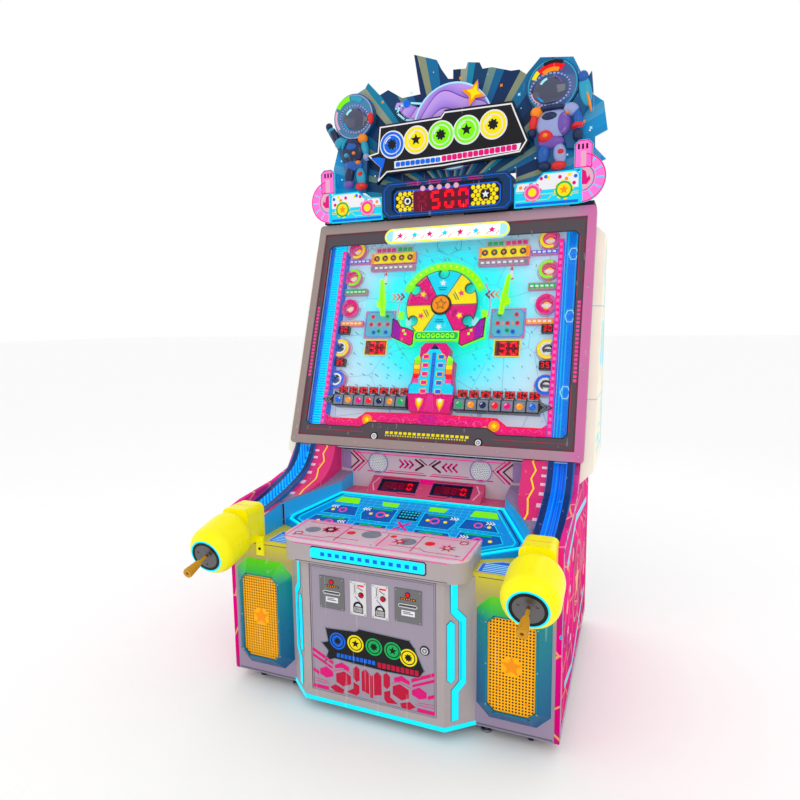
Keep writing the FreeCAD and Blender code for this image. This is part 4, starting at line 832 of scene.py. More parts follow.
def buildTrays():
    front = onSlope(-19.0)
    pitch = (trays["end"] - trays["start"]) / trays["pockets"]
    plate = [(trays["start"], 193), (trays["end"], 193), (542, 221), (trays["end"], 246),
             (trays["start"], 246)]
    layer("trayFaces", front, bothSides([plate]), ink["black"], height=0.4)
    layer("trayEdges", front, bothSides(stroke([(487, 198), (532, 221), (487, 241)], 3)), ink["slate"],
          base=0.4)
    groups, glints, slots = {}, [], []
    for k, tone in enumerate(trays["icons"]):
        x = trays["start"] + pitch * (k + 0.5)
        groups.setdefault(tone, []).append(disc(x, 221, 15, 20))
        glints.append(arcBand(x, 221, 8, 11, 100, 170, 6))
        slots.append(rect(x - pitch / 2 + 3, x + pitch / 2 - 3, 198, 244))
    layer("traySlots", front, bothSides(slots), ink["slate"], base=0.4, height=0.4)
    for tone, shapes in groups.items():
        layer("trayBalls" + tone.capitalize(), front, bothSides(shapes), lit[tone], base=0.8, height=1.2)
    layer("trayGlints", front, bothSides(glints), lit["white"], base=2.0)
    layer("trayTips", front, bothSides(stroke([(494, 208), (512, 221), (494, 233)], 4)
                                       + stroke([(506, 206), (526, 221), (506, 236)], 4)), ink["slate"],
          base=0.8)
    numbers = []
    for side in (-1, 1):
        for k, value in enumerate(trays["values"]):
            numbers += digits(value, side * (trays["start"] + pitch * (k + 0.5)), 278, 30)
    layer("trayNumbers", onSlope(-60.0), numbers, bright["red"], height=1)
    plates = [rect(trays["start"] + pitch * k + 4, trays["start"] + pitch * (k + 1) - 4, 261, 295)
              for k in range(trays["pockets"])]
    layer("trayNumberPlates", onSlope(-62.0), bothSides(plates), ink["black"], height=2)


def buildApron():
    front = onSlope(-30.0)
    clouds = []
    for x, y, r in ((60, 120, 26), (110, 132, 22), (160, 118, 30), (225, 130, 22), (390, 108, 18),
                    (440, 112, 20), (490, 110, 16)):
        clouds.append(arcBand(x, y, r - 3, r, 10, 170, 12))
    layer("apronClouds", front, bothSides(clouds), lit["pink"])
    layer("apronEdges", front, bothSides(stroke([(60, 170), (308, 164), (353, 131), (500, 131)], 5)),
          lit["red"])
    layer("apronCoins", front, bothSides([disc(300, 132, 24), disc(262, 116, 14)]), lit["orange"], base=0.2,
          height=2)
    layer("apronCoinStars", front, bothSides([star(300, 132, 15, 7)]), lit["yellow"], base=2.2)
    layer("apronRays", front, [shape for x in range(-60, 61, 15)
                               for shape in stroke([(x * 0.5, 168), (x, 112)], 2.5)], lit["purple"],
          base=0.2)


fittings = {"cups": [(478, 997, "yellow"), (482, 852, "lime"), (480, 691, "magenta"), (499, 485, "yellow"),
                     (501, 326, "blue")]}


def buildFittings():
    front = onSlope(-50.0)
    floor = onSlope(field["surface"])
    for k, (x, v, tone) in enumerate(fittings["cups"]):
        layer("cupRim%d" % k, front, bothSides(ring(x, v, 31, 45)) if x + 45 < 520 else
              bothSides([arcBand(x, v, 31, 44, 62, 298, 24)]), lit[tone], height=0.8)
        layer("cupFloor%d" % k, floor, bothSides([disc(x, v, 27)]),
              lit["magenta"] if k < 3 else ink["black"], height=1)
        layer("cupStar%d" % k, onSlope(-76.0), bothSides([disc(x, v, 17)]),
              lit["yellow"] if k < 3 else metals["chrome"], height=1)
        layer("cupBand%d" % k, onSlope(-75.0), bothSides([chamfered(x - 22, x + 22, v - 7, v + 7, 3)]),
              lit["white"] if k < 3 else ink["grey"], height=1)
        layer("cupHalo%d" % k, floor, bothSides([arcBand(x, v, 50, 52.5, 75, 285, 24)]), ink["slate"],
              height=0.5)
    layer("cupRings", front, bothSides([arcBand(x, v, 26, 31, 0, 360, 30)
                                        for x, v, tone in fittings["cups"][:3]]), lit["magenta"], base=-10,
          height=10.4)
    layer("cupMetal", front, bothSides([arcBand(x, v, 22, 30, 60, 300, 24)
                                        for x, v, tone in fittings["cups"][3:]]), metals["chrome"],
          base=-16, height=19)
    layer("cupDigits", front, digits("30", 494, 578, 27) + digits("35", 494, 413, 27)
          + digits("30", -494, 578, 27) + digits("35", -494, 413, 27), bright["red"], base=1)
    layer("cupDigitPlates", floor, bothSides([rect(468, 520, y - 19, y + 19) for y in (578, 413)]),
          ink["black"], height=27.8)
    for name, box, tone in (("barTop", (398, 515, 930, 946), "blue"),
                            ("barMiddle", (398, 517, 763, 790), "green"),
                            ("barLow", (399, 517, 600, 623), "orange"),
                            ("lampBar", (158, 391, 921, 973), "yellow"),
                            ("shelfBar", (159, 388, 887, 909), "slate")):
        layer(name, onSlope(-54.0), bothSides([chamfered(*box, 4)]), lit[tone])
    lamps = [disc(186 + 44 * k, 947, 15, 20) for k in range(5)]
    layer("barLamps", onSlope(-53.5), bothSides(lamps), ink["navy"], height=2)
    layer("barLampCores", onSlope(-51.5), bothSides([disc(186 + 44 * k, 947, 6, 12) for k in range(5)]),
          lit["orange"])
    layer("lampBarEnds", onSlope(-53.5), bothSides([chamfered(159, 172, 923, 971, 4),
                                                    chamfered(374, 390, 923, 971, 4),
                                                    rect(272, 277, 923, 971)]), lit["orange"])
    layer("barDashes", onSlope(-53.5), bothSides([rect(170 + 26 * k, 186 + 26 * k, 893, 903)
                                                  for k in range(8)]), lit["white"])
    layer("midDashes", onSlope(-53.5), bothSides([rect(406 + 22 * k, 420 + 22 * k, y, y + 8)
                                                  for k in range(5) for y in (934, 772, 608)]),
          lit["white"])
    plate = onSlope(-71.0)
    layer("scorePlates", plate, bothSides([rect(263, 377, 455, 530)]), ink["wine"])
    layer("scorePlateEdges", plate, bothSides(stroke(rect(263, 377, 455, 530), 5, True)), lit["yellow"],
          base=0.5)
    layer("scorePlateDigits", plate, digits("30", 326, 492, 60) + digits("30", -312, 492, 60),
          bright["red"], base=0.5, height=1)
    layer("flowerPlates", plate, bothSides([chamfered(238, 389, 544, 676, 16)]), finishes["plateLit"],
          height=0.3)
    layer("flowerEdges", plate, bothSides(stroke(chamfered(241, 386, 547, 673, 15), 3, True)), lit["blue"],
          base=0.3, height=0.4)
    nodes = {"red": [(270, 610), (314, 610), (358, 610), (352, 650)], "blue": [(276, 570), (340, 570)],
             "green": [(276, 650), (314, 576)]}
    for tone, spots in nodes.items():
        layer("flowerNodes" + tone.capitalize(), plate, bothSides([disc(x, y, 11, 12) for x, y in spots]),
              lit[tone], base=0.3, height=1)
    layer("flowerCores", plate, bothSides([disc(x, y, 5, 10) for spots in nodes.values()
                                           for x, y in spots]), ink["navy"], base=1.3)
    layer("flowerArrows", plate, bothSides(chevrons(290, 610, 6, 4, 1, 14)
                                           + chevrons(334, 610, 6, 4, 1, 14)), lit["orange"], base=0.9)
    lanes = [rect(552, 611, 24 + 13 * k, 31 + 13 * k) for k in range(80)]
    layer("laneRibsLeft", onSlope(field["surface"]), mirrorShapes(lanes), bright["cyan"], height=6)
    hexes = [[(x + 20 * math.cos(math.radians(60 * n)), v + 30 * math.sin(math.radians(60 * n)))
              for n in range(6)] for x, v in ((582, 930), (582, 640), (582, 300))]
    layer("laneLinesRight", onSlope(field["surface"]),
          [rect(556, 560, 20, 1070), rect(604, 608, 20, 1070), rect(570, 573, 40, 600),
           rect(592, 594, 660, 1070)], lit["cyan"], height=4)
    layer("laneHexesRight", onSlope(field["surface"]),
          [shape for outline in hexes for shape in stroke(outline, 4, True)], lit["paleCyan"], height=5)
    layer("laneFloorLeft", floor, [rect(-617, -547, 10, 1078)], lit["azure"], height=1)
    layer("laneFloorRight", floor, [rect(547, 617, 10, 1078)], finishes["laneLit"], height=1)
    layer("laneEdges", onSlope(-30.0), bothSides([rect(524, 543, 100, 984)]), bright["magenta"], height=0.6)
    layer("laneEdgeTicks", onSlope(-29.4), bothSides([rect(528, 539, 110 + 29 * k, 124 + 29 * k)
                                                      for k in range(30)]), lit["hotPink"])
    bar = [(316, 818), (308, 818), (291, 724), (284, 650), (292, 650), (300, 690), (316, 700)]
    layer("flipperFaceRight", onSlope(-30.0), [bar], bright["lime"], "flipper_r")
    layer("flipperFaceLeft", onSlope(-30.0), mirrorShapes([bar]), bright["lime"], "flipper_l")
    layer("topArtPlate", floor, bothSides([chamfered(180, 384, 984, 1018, 5)]), ink["white"], height=0.6)
    layer("topArtGreen", floor, bothSides([chamfered(190 + 26 * k, 212 + 26 * k, 991, 1011, 3)
                                           for k in range(3)]), lit["green"], base=0.6)
    layer("topArtPink", floor, bothSides([chamfered(276 + 26 * k, 298 + 26 * k, 991, 1011, 3)
                                          for k in range(4)]), lit["magenta"], base=0.6)
    layer("topHexLine", floor, stroke([(-60, 985), (-60, 1025), (0, 1052), (60, 1025), (60, 985), (0, 958)],
                                      2.5, True), ink["slate"], height=0.5)
    spots = [(x, v) for v in range(320, 480, 50) for x in range(150, 250, 64)]
    layer("targetDots", onSlope(field["surface"]), bothSides([disc(x + 30, v + 25, 6, 12)
            for x, v in spots]), lit["cyan"], height=0.6)
    for k, tone in enumerate(("orange", "red", "wine")):
        layer("fieldArrows" + tone.capitalize(), floor,
              bothSides(chevrons(262 - 22 * k, 752, 15, 8, 1, 18, -1)), ink[tone], height=0.6)
    layer("rocketMarks", floor, bothSides([chamfered(306, 320, 826, 866, 6)]), ink["white"], height=1)
    layer("rocketNoses", floor, bothSides([[(304, 866), (322, 866), (313, 886)], rect(302, 324, 820, 828)]),
          lit["red"], height=1.4)
    layer("brackets", onSlope(field["surface"]), bothSides([chamfered(405, 440, 860, 890, 6),
                                                            chamfered(405, 440, 700, 730, 6),
                                                            chamfered(150, 176, 600, 640, 6)]),
          lit["paleCyan"], height=8)
    scatter("fieldScrews", onSlope(field["surface"]),
            [(s * x, v) for s in (-1, 1) for x, v in ((422, 875), (422, 715), (250, 1040), (90, 1040),
                                                      (410, 1040), (460, 560), (440, 300), (150, 700))],
            0.006, 0.010, metals["chrome"], sides=12)


buildWheel()
buildSurround()
buildColumn()
buildTrays()
buildApron()
buildFittings()
print("playfield dressed")


# Glass door
door = {"half": 676.0, "rimSide": 36.0}


def buildDoor():
    bezelFace = onSlope(-6.0)
    inner = door["half"] - door["rimSide"]
    line = [(-inner + 7, 48), (inner - 7, 48), (inner - 7, 1062), (-inner + 7, 1062)]
    layer("bezelLine", bezelFace, stroke(line, 2.5, True), ink["maroon"], "glass_door", height=0.3)
    layer("bezelSideLines", bezelFace, [rect(612, 614.5, 120, 320), rect(612, 614.5, 700, 980),
                                        rect(-614.5, -612, 120, 320), rect(-614.5, -612, 700, 980),
                                        rect(300, 600, 70, 72.5), rect(-600, -300, 70, 72.5)],
          ink["maroonRed"], "glass_door", height=0.3)
    opening = [(275, 118), (320, 92), (588, 94), (605, 111), (605, 988), (588, 1005)]
    outline = opening + [(-a, b) for a, b in reversed(opening)]
    layer("glassEdge", bezelFace, stroke([(a * 1.004, b) for a, b in outline], 3.5, True), ink["black"],
          "glass_door", height=0.4)
    dashes = [rect(x, x + 15, 68, 80) for x in range(-190, 190, 22)]
    dashes += [rect(x, x + 6, 58, 64) for x in range(-190, 190, 12)]
    layer("bezelDashes", bezelFace, dashes, ink["yellow"], "glass_door", height=0.3)
    sides = [rect(618, 632, 330 + 18 * k, 342 + 18 * k) for k in range(20)]
    layer("bezelSideMarks", bezelFace, bothSides(sides), ink["pink"], "glass_door", height=0.3)
    bar = onSlope(8.0)
    layer("topLightEdge", bar, [arcBand(-268, 1031.5, 30, 37, 90, 270, 16),
                                arcBand(268, 1031.5, 30, 37, -90, 90, 16), rect(-268, 268, 1061.5, 1068.5),
                                rect(-268, 268, 994.5, 1001.5)], bright["yellow"], "glass_door")
    layer("topLightFace", bar, [rect(-262, 262, 1004, 1059)], bright["white"], "glass_door", height=0.3)
    marks = [star(-225 + 75 * k, 1031, 17, 8, 5, 90) for k in range(7)]
    layer("topLightStars", bar, marks[::2], lit["magenta"], "glass_door", base=0.3)
    layer("topLightStarsCyan", bar, marks[1::2], lit["cyan"], "glass_door", base=0.3)
    fills = []
    for k in range(12):
        fills += stroke([(-250 + 45 * k, 1010), (-236 + 45 * k, 1024)], 4)
    layer("topLightTicks", bar, fills, lit["orange"], "glass_door", base=0.3)
    for side, name in hands:
        layer("lockRing" + name, bezelFace, ring(side * 243, 54, 14, 19), ink["black"], "glass_door",
              height=1)
    layer("lockFaceRight", onSlope(-2.0), ring(243, 54, 4, 8), ink["grey"], "glass_door_lock_right",
          height=0.4)
    layer("lockFaceLeft", onSlope(-2.0), ring(-243, 54, 4, 8), ink["grey"], "glass_door_lock_left",
          height=0.4)
    for side, name in hands:
        def place(a, b, h, side=side):
            return mm(side * (door["half"] - 18 + h),
                      setup["doorFoot"][0] + b * sinLean - (a - 30) * cosLean,
                      setup["doorFoot"][1] + b * cosLean + (a - 30) * sinLean)
        layer("edgeLight" + name, place, [rect(-24, -18, 20, 1100)], bright["cyan"], base=0, height=12)
    rimSpots = [(x, v) for x in (-658, 658) for v in (22, 380, 740)] + [(x, 20) for x in (-330, 0, 330)]
    scatter("rimScrews", onSlope(0.0), rimSpots, 0.0045, 0.0012, metals["steel"], "glass_door", 12)


buildDoor()
print("door dressed")


# Marquee
marquee = {"boxFront": 830.0, "sideFront": 838.0, "figureFront": 849.0, "titleFront": 830.0,
           "planetFront": 858.0, "fanFront": 880.0}


def gear(x, z, r, teeth=8):
    points = []
    for k in range(teeth):
        base = 360 / teeth * k
        for step, size in ((0, 1.0), (0.45, 1.0), (0.55, 0.78), (0.95, 0.78)):
            a = math.radians(base + 360 / teeth * step)
            points.append((x + r * size * math.cos(a), z + r * size * math.sin(a)))
    return points


def buildDisplay():
    face = onFront(marquee["boxFront"])
    well = onFront(marquee["boxFront"] + 12)
    layer("displayFace", well, [chamfered(-268, 268, 2003, 2120, 20)], ink["black"])
    layer("displayOutline", well, stroke(chamfered(-258, 258, 2008, 2106, 16), 6, True), lit["blue"],
          base=0.5)
    cells, rims = [], []
    for row in range(5):
        for column in range(5):
            x, z = 132 + 24 * column + 12 * (row % 2), 2020 + 18 * row
            if 124 < x < 244:
                cells.append(disc(x, z, 10.5, 6))
                rims.append(disc(x, z, 12.5, 6))
    layer("hexCells", well, bothSides(rims), ink["bronze"], base=0.5)
    layer("hexCores", well, bothSides(cells), lit["yellow"], base=1.0)
    layer("hexIconPlates", well, bothSides([chamfered(168, 212, 2036, 2078, 6)]), ink["black"], base=1.5)
    layer("hexIcons", well, ring(-190, 2057, 9, 16) + [star(190, 2057, 18, 8)], lit["white"], base=2.0)
    layer("ledWindow", well, [chamfered(-160, 112, 2003, 2099, 6)], ink["wine"], base=2.2)
    layer("ledWindowEdge", well, stroke(chamfered(-160, 112, 2003, 2099, 6), 4, True), ink["purple"],
          base=2.7)
    layer("ledDigits", well, digits("500", 18, 2051, 84), bright["red"], base=2.8)
    layer("ledUnlit", well, digits("8", -116, 2051, 84), ink["maroon"], base=2.8, height=0.3)
    layer("displayLamps", well, [disc(-112 + 41 * k, 2109, 12, 20) for k in range(5)], lit["blush"],
          base=0.5, height=6)
    slots = [shape for k in range(4) for shape in stroke(chamfered(-190 + 100 * k, -120 + 100 * k, 2128,
            2138, 4), 2.5, True)]
    layer("displayHoodSlots", face, slots, ink["magenta"])
    layer("displayFrameLine", face, stroke(chamfered(-308, 308, 1992, 2138, 26), 3, True), ink["blue"],
          height=0.4)


def buildSideBoxes():
    face = onFront(marquee["sideFront"])
    layer("sideBoxUpper", face, bothSides([[(328, 2052), (598, 2052), (598, 2104), (582, 2118), (452, 2118),
                                            (417, 2086), (338, 2084)]]), lit["white"])
    layer("sideBoxBase", face, bothSides([rect(328, 598, 1988, 2000)]), lit["blue"], height=0.4)
    lines = stroke([(330, 2010), (470, 2010), (486, 2026), (598, 2026)],
                   2.5) + stroke([(330, 2046), (360, 2046), (372, 2034), (598, 2034)], 2.5)
    layer("sideBoxLines", face, bothSides(lines), ink["yellow"], base=0.5)
    spots = {"magenta": [(440, 2100), (520, 2100), (580, 2070)], "yellow": [(470, 2102), (560, 2106)],
             "orange": [(548, 2090), (350, 2068)], "blue": [(460, 2106), (586, 2098), (380, 2066)]}
    for tone, places in spots.items():
        layer("sideBoxDots" + tone.capitalize(), face, bothSides([disc(x, z, 8, 14) for x, z in places]),
              lit[tone], base=0.5)
    for side, name in hands:
        layer("gearPink" + name, face, [gear(side * 402, 2044, 42)], lit["pink"], base=0.5, height=2)
        layer("gearPinkRing" + name, face, ring(side * 402, 2044, 30, 36), ink["blush"], base=2.5)
        layer("gearPinkHub" + name, face, [disc(side * 402, 2044, 18, 20)], lit["yellow"], base=2.5)
        layer("gearYellow" + name, face, [gear(side * 538, 2045, 42)], lit["yellow"], base=0.5, height=2)
        layer("gearYellowRing" + name, face, ring(side * 538, 2045, 28, 36), ink["green"], base=2.5)
        layer("gearStar" + name, face, [star(side * 538, 2045, 20, 9)], ink["orange"], base=2.5, height=1)
    ringFace = onFront(marquee["sideFront"] - 4)
    z = 2087.0
    segments = [arcBand(608, z, 60, 96, -84 + 28 * k, -60 + 28 * k, 8) for k in range(6)]
    shown = [segment for segment in segments if min(point[0] for point in segment) > 603]
    layer("ringSegments", ringFace, bothSides(shown), bright["hotPink"])
    layer("ringRims", ringFace, bothSides([arcBand(608, z, 97, 102.5, -87, 87, 24),
                                           arcBand(608, z, 52, 57, -82, 82, 20)]), bright["magenta"])
    layer("ringCore", ringFace, bothSides([arcBand(608, z, 6, 50, -80, 80, 18)]), lit["blush"])
    flame = [(612, 2060), (632, 2058), (648, 2078), (642, 2096), (634, 2084), (628, 2112), (612, 2122)]
    layer("ringEmblem", ringFace, bothSides([flame]), lit["magenta"], base=0.5)
    stem = [(582, 2130), (651, 2130), (651, 2223), (635, 2239), (598, 2239), (582, 2223)]
    layer("stemFace", ringFace, bothSides([stem]), bright["hotPink"])
    layer("stemLine", ringFace, bothSides(stroke(stem, 4, True)), ink["magenta"], base=0.5)
    layer("stemTicks", ringFace, bothSides([rect(592 + 17 * k, 601 + 17 * k, 2204, 2226)
                                            for k in range(3)]), ink["black"], base=0.5)
    layer("stemCore", ringFace, bothSides([rect(606, 628, 2134, 2196)]), lit["blush"], base=0.5)


def buildTitle():
    face = onFront(marquee["titleFront"])
    outline = [(-332, 2417), (-20, 2420), (0, 2445), (315, 2440), (330, 2400), (385, 2262), (355, 2215),
               (-10, 2191), (-300, 2190), (-347, 2148), (-330, 2215), (-395, 2280), (-345, 2290)]
    cx, cz = 0.0, 2312.0
    inner = [(cx + (a - cx) * 0.972, cz + (b - cz) * 0.91) for a, b in outline]
    layer("titleBorder", face, stroke(inner, 6, True), lit["white"])
    icons = ((-262, "blue"), (-140, "yellow"), (-18, "lime"), (104, "lime"), (226, "yellow"))
    heights = {x: 2322 + 0.06 * (x + 262) for x, tone in icons}
    layer("titleUnderlay", face, [disc(x, heights[x], 64, 28) for x, tone in icons], lit["white"], base=0.2,
          height=1)
    for tone in ("blue", "yellow", "lime"):
        spots = [(x, heights[x]) for x, key in icons if key == tone]
        layer("titleRing" + tone.capitalize(), face, [s for x, z in spots for s in ring(x, z, 46, 57, 20)],
              lit[tone], base=1.2, height=4)
        layer("titleBall" + tone.capitalize(), face, [disc(x, z, 40, 28) for x, z in spots], lit[tone],
              base=1.2, height=4)
    marks = [star(x, heights[x], 27, 12, 5) if k % 2 else gear(x, heights[x], 24, 8)
             for k, (x, tone) in enumerate(icons)]
    layer("titleMarks", face, marks, ink["black"], base=5.2)
    layer("titleGlints", face, [arcBand(x, heights[x], 31, 36, 100, 170, 8) for x, tone in icons],
          lit["white"], base=5.2)
    layer("titleStripUnderlay", face, [[(-252, 2212), (-30, 2214), (342, 2228), (352, 2258), (-30, 2246),
                                        (-252, 2244)]], lit["white"], base=1.3, height=0.6)
    strip = [chamfered(-244 + 25 * k, -222 + 25 * k, 2218, 2239, 4) for k in range(9)]
    layer("titleStripBlue", face, strip, lit["blue"], base=1.9, height=2)
    pinkStrip = [chamfered(-14 + 25 * k, 8 + 25 * k, 2219 + 0.9 * k, 2243 + 0.9 * k, 4) for k in range(14)]
    layer("titleStripPink", face, pinkStrip, lit["magenta"], base=1.9, height=2)
    layer("titleTail", face, [[(-336, 2272), (-300, 2262), (-310, 2226), (-336, 2170), (-322, 2222),
                               (-372, 2270)]], lit["blue"], base=0.2, height=2)


def dome(name, cx, cz, rx, rz, depth, place, material, body="cabinet", turn=0.0, rings=8, count=28):
    build = bmesh.new()
    rows = []
    cosTurn, sinTurn = math.cos(math.radians(turn)), math.sin(math.radians(turn))
    for j in range(rings):
        t = j / rings * math.pi / 2
        row = []
        for k in range(count):
            a = rx * math.cos(t) * math.cos(2 * math.pi * k / count)
            b = rz * math.cos(t) * math.sin(2 * math.pi * k / count)
            row.append(build.verts.new(place(cx + a * cosTurn - b * sinTurn, cz + a * sinTurn + b * cosTurn,
                                             depth * math.sin(t))))
        rows.append(row)
    tip = build.verts.new(place(cx, cz, depth))
    for j in range(rings - 1):
        for k in range(count):
            n = (k + 1) % count
            build.faces.new((rows[j][k], rows[j][n], rows[j + 1][n], rows[j + 1][k]))
    for k in range(count):
        build.faces.new((rows[-1][k], rows[-1][(k + 1) % count], tip))
    build.faces.new(rows[0])
    bmesh.ops.recalc_face_normals(build, faces=build.faces)
    for f in build.faces:
        f.smooth = len(f.verts) < 5
    mesh = bpy.data.meshes.new(name)
    build.to_mesh(mesh)
    build.free()
    return newPiece(name, mesh, material, body)


def buildPlanet():
    face = onFront(marquee["planetFront"])
    layer("planetRim", face, ring(27, 2379, 184, 191, 40), lit["paleCyan"])
    layer("planetRingBand", face, stroke([(-150, 2420), (-206, 2436), (-246, 2470), (-232, 2500),
                                          (-180, 2508), (-120, 2496)], 9), ink["paleCyan"], base=0.3)
    layer("planetRingInner", face, stroke([(-160, 2436), (-204, 2450), (-226, 2474), (-216, 2490),
                                           (-170, 2492)], 5), ink["lilac"], base=0.3)
    layer("planetRingTip", face, [disc(-196, 2506, 17, 18)], lit["blue"], base=0.9, height=3)
    starFace = onFront(marquee["planetFront"] - 12)
    big = [(130 + (58 if k % 2 == 0 else 24) * math.cos(math.radians(70 + 45 * k)),
            2503 + (58 if k % 2 == 0 else 24) * math.sin(math.radians(70 + 45 * k))) for k in range(8)]
    layer("starFace", starFace, [big], lit["orange"], height=1)
    small = [(130 + (a - 130) * 0.62 + 3, 2503 + (b - 2503) * 0.62 + 4) for a, b in big]
    layer("starGlow", starFace, [small], lit["yellow"], base=1.0, height=2)


# Puffy suit parts: centre, half sizes, turn, depth and tone
leftSuit = {
    "Hip": (-478, 2252, 54, 28, 0, 20, "blue"), "LegOuter": (-500, 2212, 25, 46, -14, 20, "dark"),
    "LegInner": (-438, 2196, 26, 46, 8, 22, "teal"), "Knee": (-436, 2206, 16, 15, 0, 30, "red"),
    "BootOuter": (-504, 2164, 27, 20, 10, 26, "violet"), "BootInner": (-436, 2150, 32, 19, 0, 28, "red"),
    "Torso": (-482, 2320, 62, 62, 0, 26, "dark"), "ChestPlate": (-480, 2336, 38, 24, 0, 32, "blue"),
    "ChestLamp": (-466, 2306, 13, 12, 0, 32, "orange"), "Pouch": (-506, 2300, 18, 14, 0, 32, "teal"),
    "ShoulderOuter": (-546, 2366, 32, 26, 20, 28, "teal"),
            "ShoulderInner": (-424, 2372, 26, 24, 0, 28, "orange"),
    "ArmOuter": (-576, 2404, 20, 46, 28, 24, "dark"), "CuffOuter": (-592, 2428, 20, 13, 28, 28, "teal"),
    "GloveOuter": (-605, 2448, 18, 20, 0, 26, "dark"), "ArmInner": (-412, 2328, 19, 42, 12, 26, "teal"),
    "GloveInner": (-404, 2284, 18, 18, 0, 28, "white"), "EarPad": (-380, 2462, 16, 30, 0, 20, "red"),
    "Strap": (-520, 2352, 9, 34, -24, 31, "teal"), "Pocket": (-448, 2262, 14, 12, 0, 27, "orange"),
}
rightSuit = {
    "Pack": (616, 2444, 26, 66, 10, 14, "teal"), "PackTop": (606, 2500, 22, 26, 0, 20, "blue"),
             "Hose": (632, 2400, 7, 46, 14, 20, "orange"),
    "Hip": (478, 2252, 58, 30, 0, 22, "violet"), "LegOuter": (516, 2200, 28, 46, 8, 22, "white"),
    "LegInner": (446, 2204, 27, 46, -6, 24, "blue"), "KneeOuter": (520, 2204, 17, 15, 0, 30, "red"),
    "BootOuter": (512, 2150, 34, 20, 0, 26, "red"), "BootInner": (450, 2152, 30, 20, 0, 28, "dark"),
    "Torso": (486, 2326, 74, 66, 0, 26, "white"), "TorsoSide": (528, 2322, 34, 50, 0, 32, "violet"),
    "ChestPlate": (474, 2352, 42, 24, 0, 32, "dark"), "BeltLamp": (456, 2274, 36, 32, 0, 34, "red"),
    "BeltCore": (456, 2274, 18, 16, 0, 40, "orange"), "Collar": (482, 2390, 60, 15, 0, 30, "dark"),
    "ShoulderOuter": (560, 2376, 34, 28, -16, 30, "white"),
             "ShoulderInner": (414, 2380, 27, 25, 0, 28, "orange"),
    "ArmOuter": (588, 2330, 22, 52, 6, 26, "blue"), "CuffOuter": (588, 2306, 27, 15, 6, 32, "red"),
    "GloveOuter": (590, 2268, 22, 28, 0, 30, "dark"), "ArmInner": (402, 2340, 19, 40, -12, 26, "red"),
    "GloveInner": (396, 2296, 18, 22, 0, 26, "dark"), "ChestBadge": (546, 2360, 10, 9, 0, 34, "orange"),
}
suitTones = {"dark": (0.008, 0.02, 0.08), "blue": (0.01, 0.10, 0.42), "teal": (0.02, 0.34, 0.52),
             "white": (0.30, 0.36, 0.66), "red": (0.72, 0.02, 0.02), "orange": (0.95, 0.26, 0.01),
             "violet": (0.16, 0.08, 0.42)}


def buildFigures():
    face = onFront(marquee["figureFront"])
    suit = {key: finishMaterial("suit" + key.capitalize(), tone, rough=0.3, coat=0.3, vary=0.35, glow=0.12,
                                glowColour=tone) for key, tone in suitTones.items()}
    for side, parts in (("Left", leftSuit), ("Right", rightSuit)):
        for part, (cx, cz, rx, rz, turn, depth, tone) in parts.items():
            dome("figure" + side + part, cx, cz, rx, rz, depth, face, suit[tone], turn=turn, rings=6,
                 count=22)
    dome("helmetLeft", -471, 2480, 104, 104, 14, face,
         finishMaterial("helmetLeftShell", (0.05, 0.26, 0.50), rough=0.2, coat=0.5, vary=0.5))
    dome("visorLeft", -462, 2466, 74, 60, 24, face, finishes["visor"], turn=-12)
    dome("helmetRight", 479, 2484, 106, 106, 14, face,
         finishMaterial("helmetRightShell", (0.03, 0.10, 0.34), rough=0.2, coat=0.5, vary=0.5))
    dome("visorRight", 470, 2466, 82, 62, 24, face, finishes["visor"], turn=6)
    # Helmet bands: the rim rings and blush arcs are painted highlights on the bubble edges; the green,
    # teal, red, orange, yellow and black arcs are coloured bands.
    bands = {
        "RimHighlightLeft": ([arcBand(-471, 2480, 97, 103, 0, 360, 48)], suit["white"], 3),
             "GreenLeft": ([arcBand(-480, 2484, 68, 92, 95, 150, 14)], lit["lime"], 9),
        "TealLeft": ([arcBand(-476, 2482, 70, 94, 50, 92, 12)], suit["teal"], 9),
             "PaleHighlightLeft": ([arcBand(-471, 2480, 86, 96, 160, 215, 12)], lit["blush"], 6),
        "RimHighlightRight": ([arcBand(479, 2484, 99, 105, 0, 360, 48)], suit["teal"], 3),
             "RedRight": ([arcBand(482, 2476, 70, 96, 60, 132, 18)], lit["red"], 9),
        "OrangeRight": ([arcBand(482, 2476, 62, 78, 70, 126, 16)], lit["orange"], 12),
             "YellowRight": ([arcBand(479, 2482, 76, 94, 134, 158, 8)], lit["yellow"], 8),
        "BlackRight": ([arcBand(484, 2484, 86, 100, 66, 116, 12)], ink["black"], 11),
             "PaleHighlightRight": ([arcBand(479, 2484, 86, 98, 196, 240, 12)], lit["blush"], 6),
    }
    for part, (shapes, material, base) in bands.items():
        layer("helmet" + part, face, shapes, material, base=base, height=3)
    frames = [(-462, 2466, 74, 60, -12), (470, 2466, 82, 62, 6)]
    for (cx, cz, rx, rz, turn), name in zip(frames, ("Left", "Right")):
        points = []
        for k in range(32):
            a, b = (rx + 3) * math.cos(math.radians(k * 11.25)), (rz
                    + 3) * math.sin(math.radians(k * 11.25))
            c, d = math.cos(math.radians(turn)), math.sin(math.radians(turn))
            points.append((cx + a * c - b * d, cz + a * d + b * c))
        layer("visorFrame" + name, face, stroke(points, 7, True), suit["white"], base=8, height=5)
        # Painted light on the visor: the pale cyan glints are painted highlights, the violet and blue arcs
        # painted reflections.
        layer("visorGlints" + name, face, [arcBand(cx, cz, 38, 48, 105, 150, 8)], lit["paleCyan"],
              base=20.5, height=1)
        layer("visorPaintedReflection" + name, face, [arcBand(cx, cz, 50, 56, 20, 70, 8),
                                         arcBand(cx, cz, 22, 30, 110, 150, 6)], suit["violet"], base=17.5,
              height=2)
        layer("visorPaintedReflectionBlue" + name, face, [arcBand(cx, cz, 52, 58, 195, 240, 8)], lit["azure"], base=15.5,
              height=1)


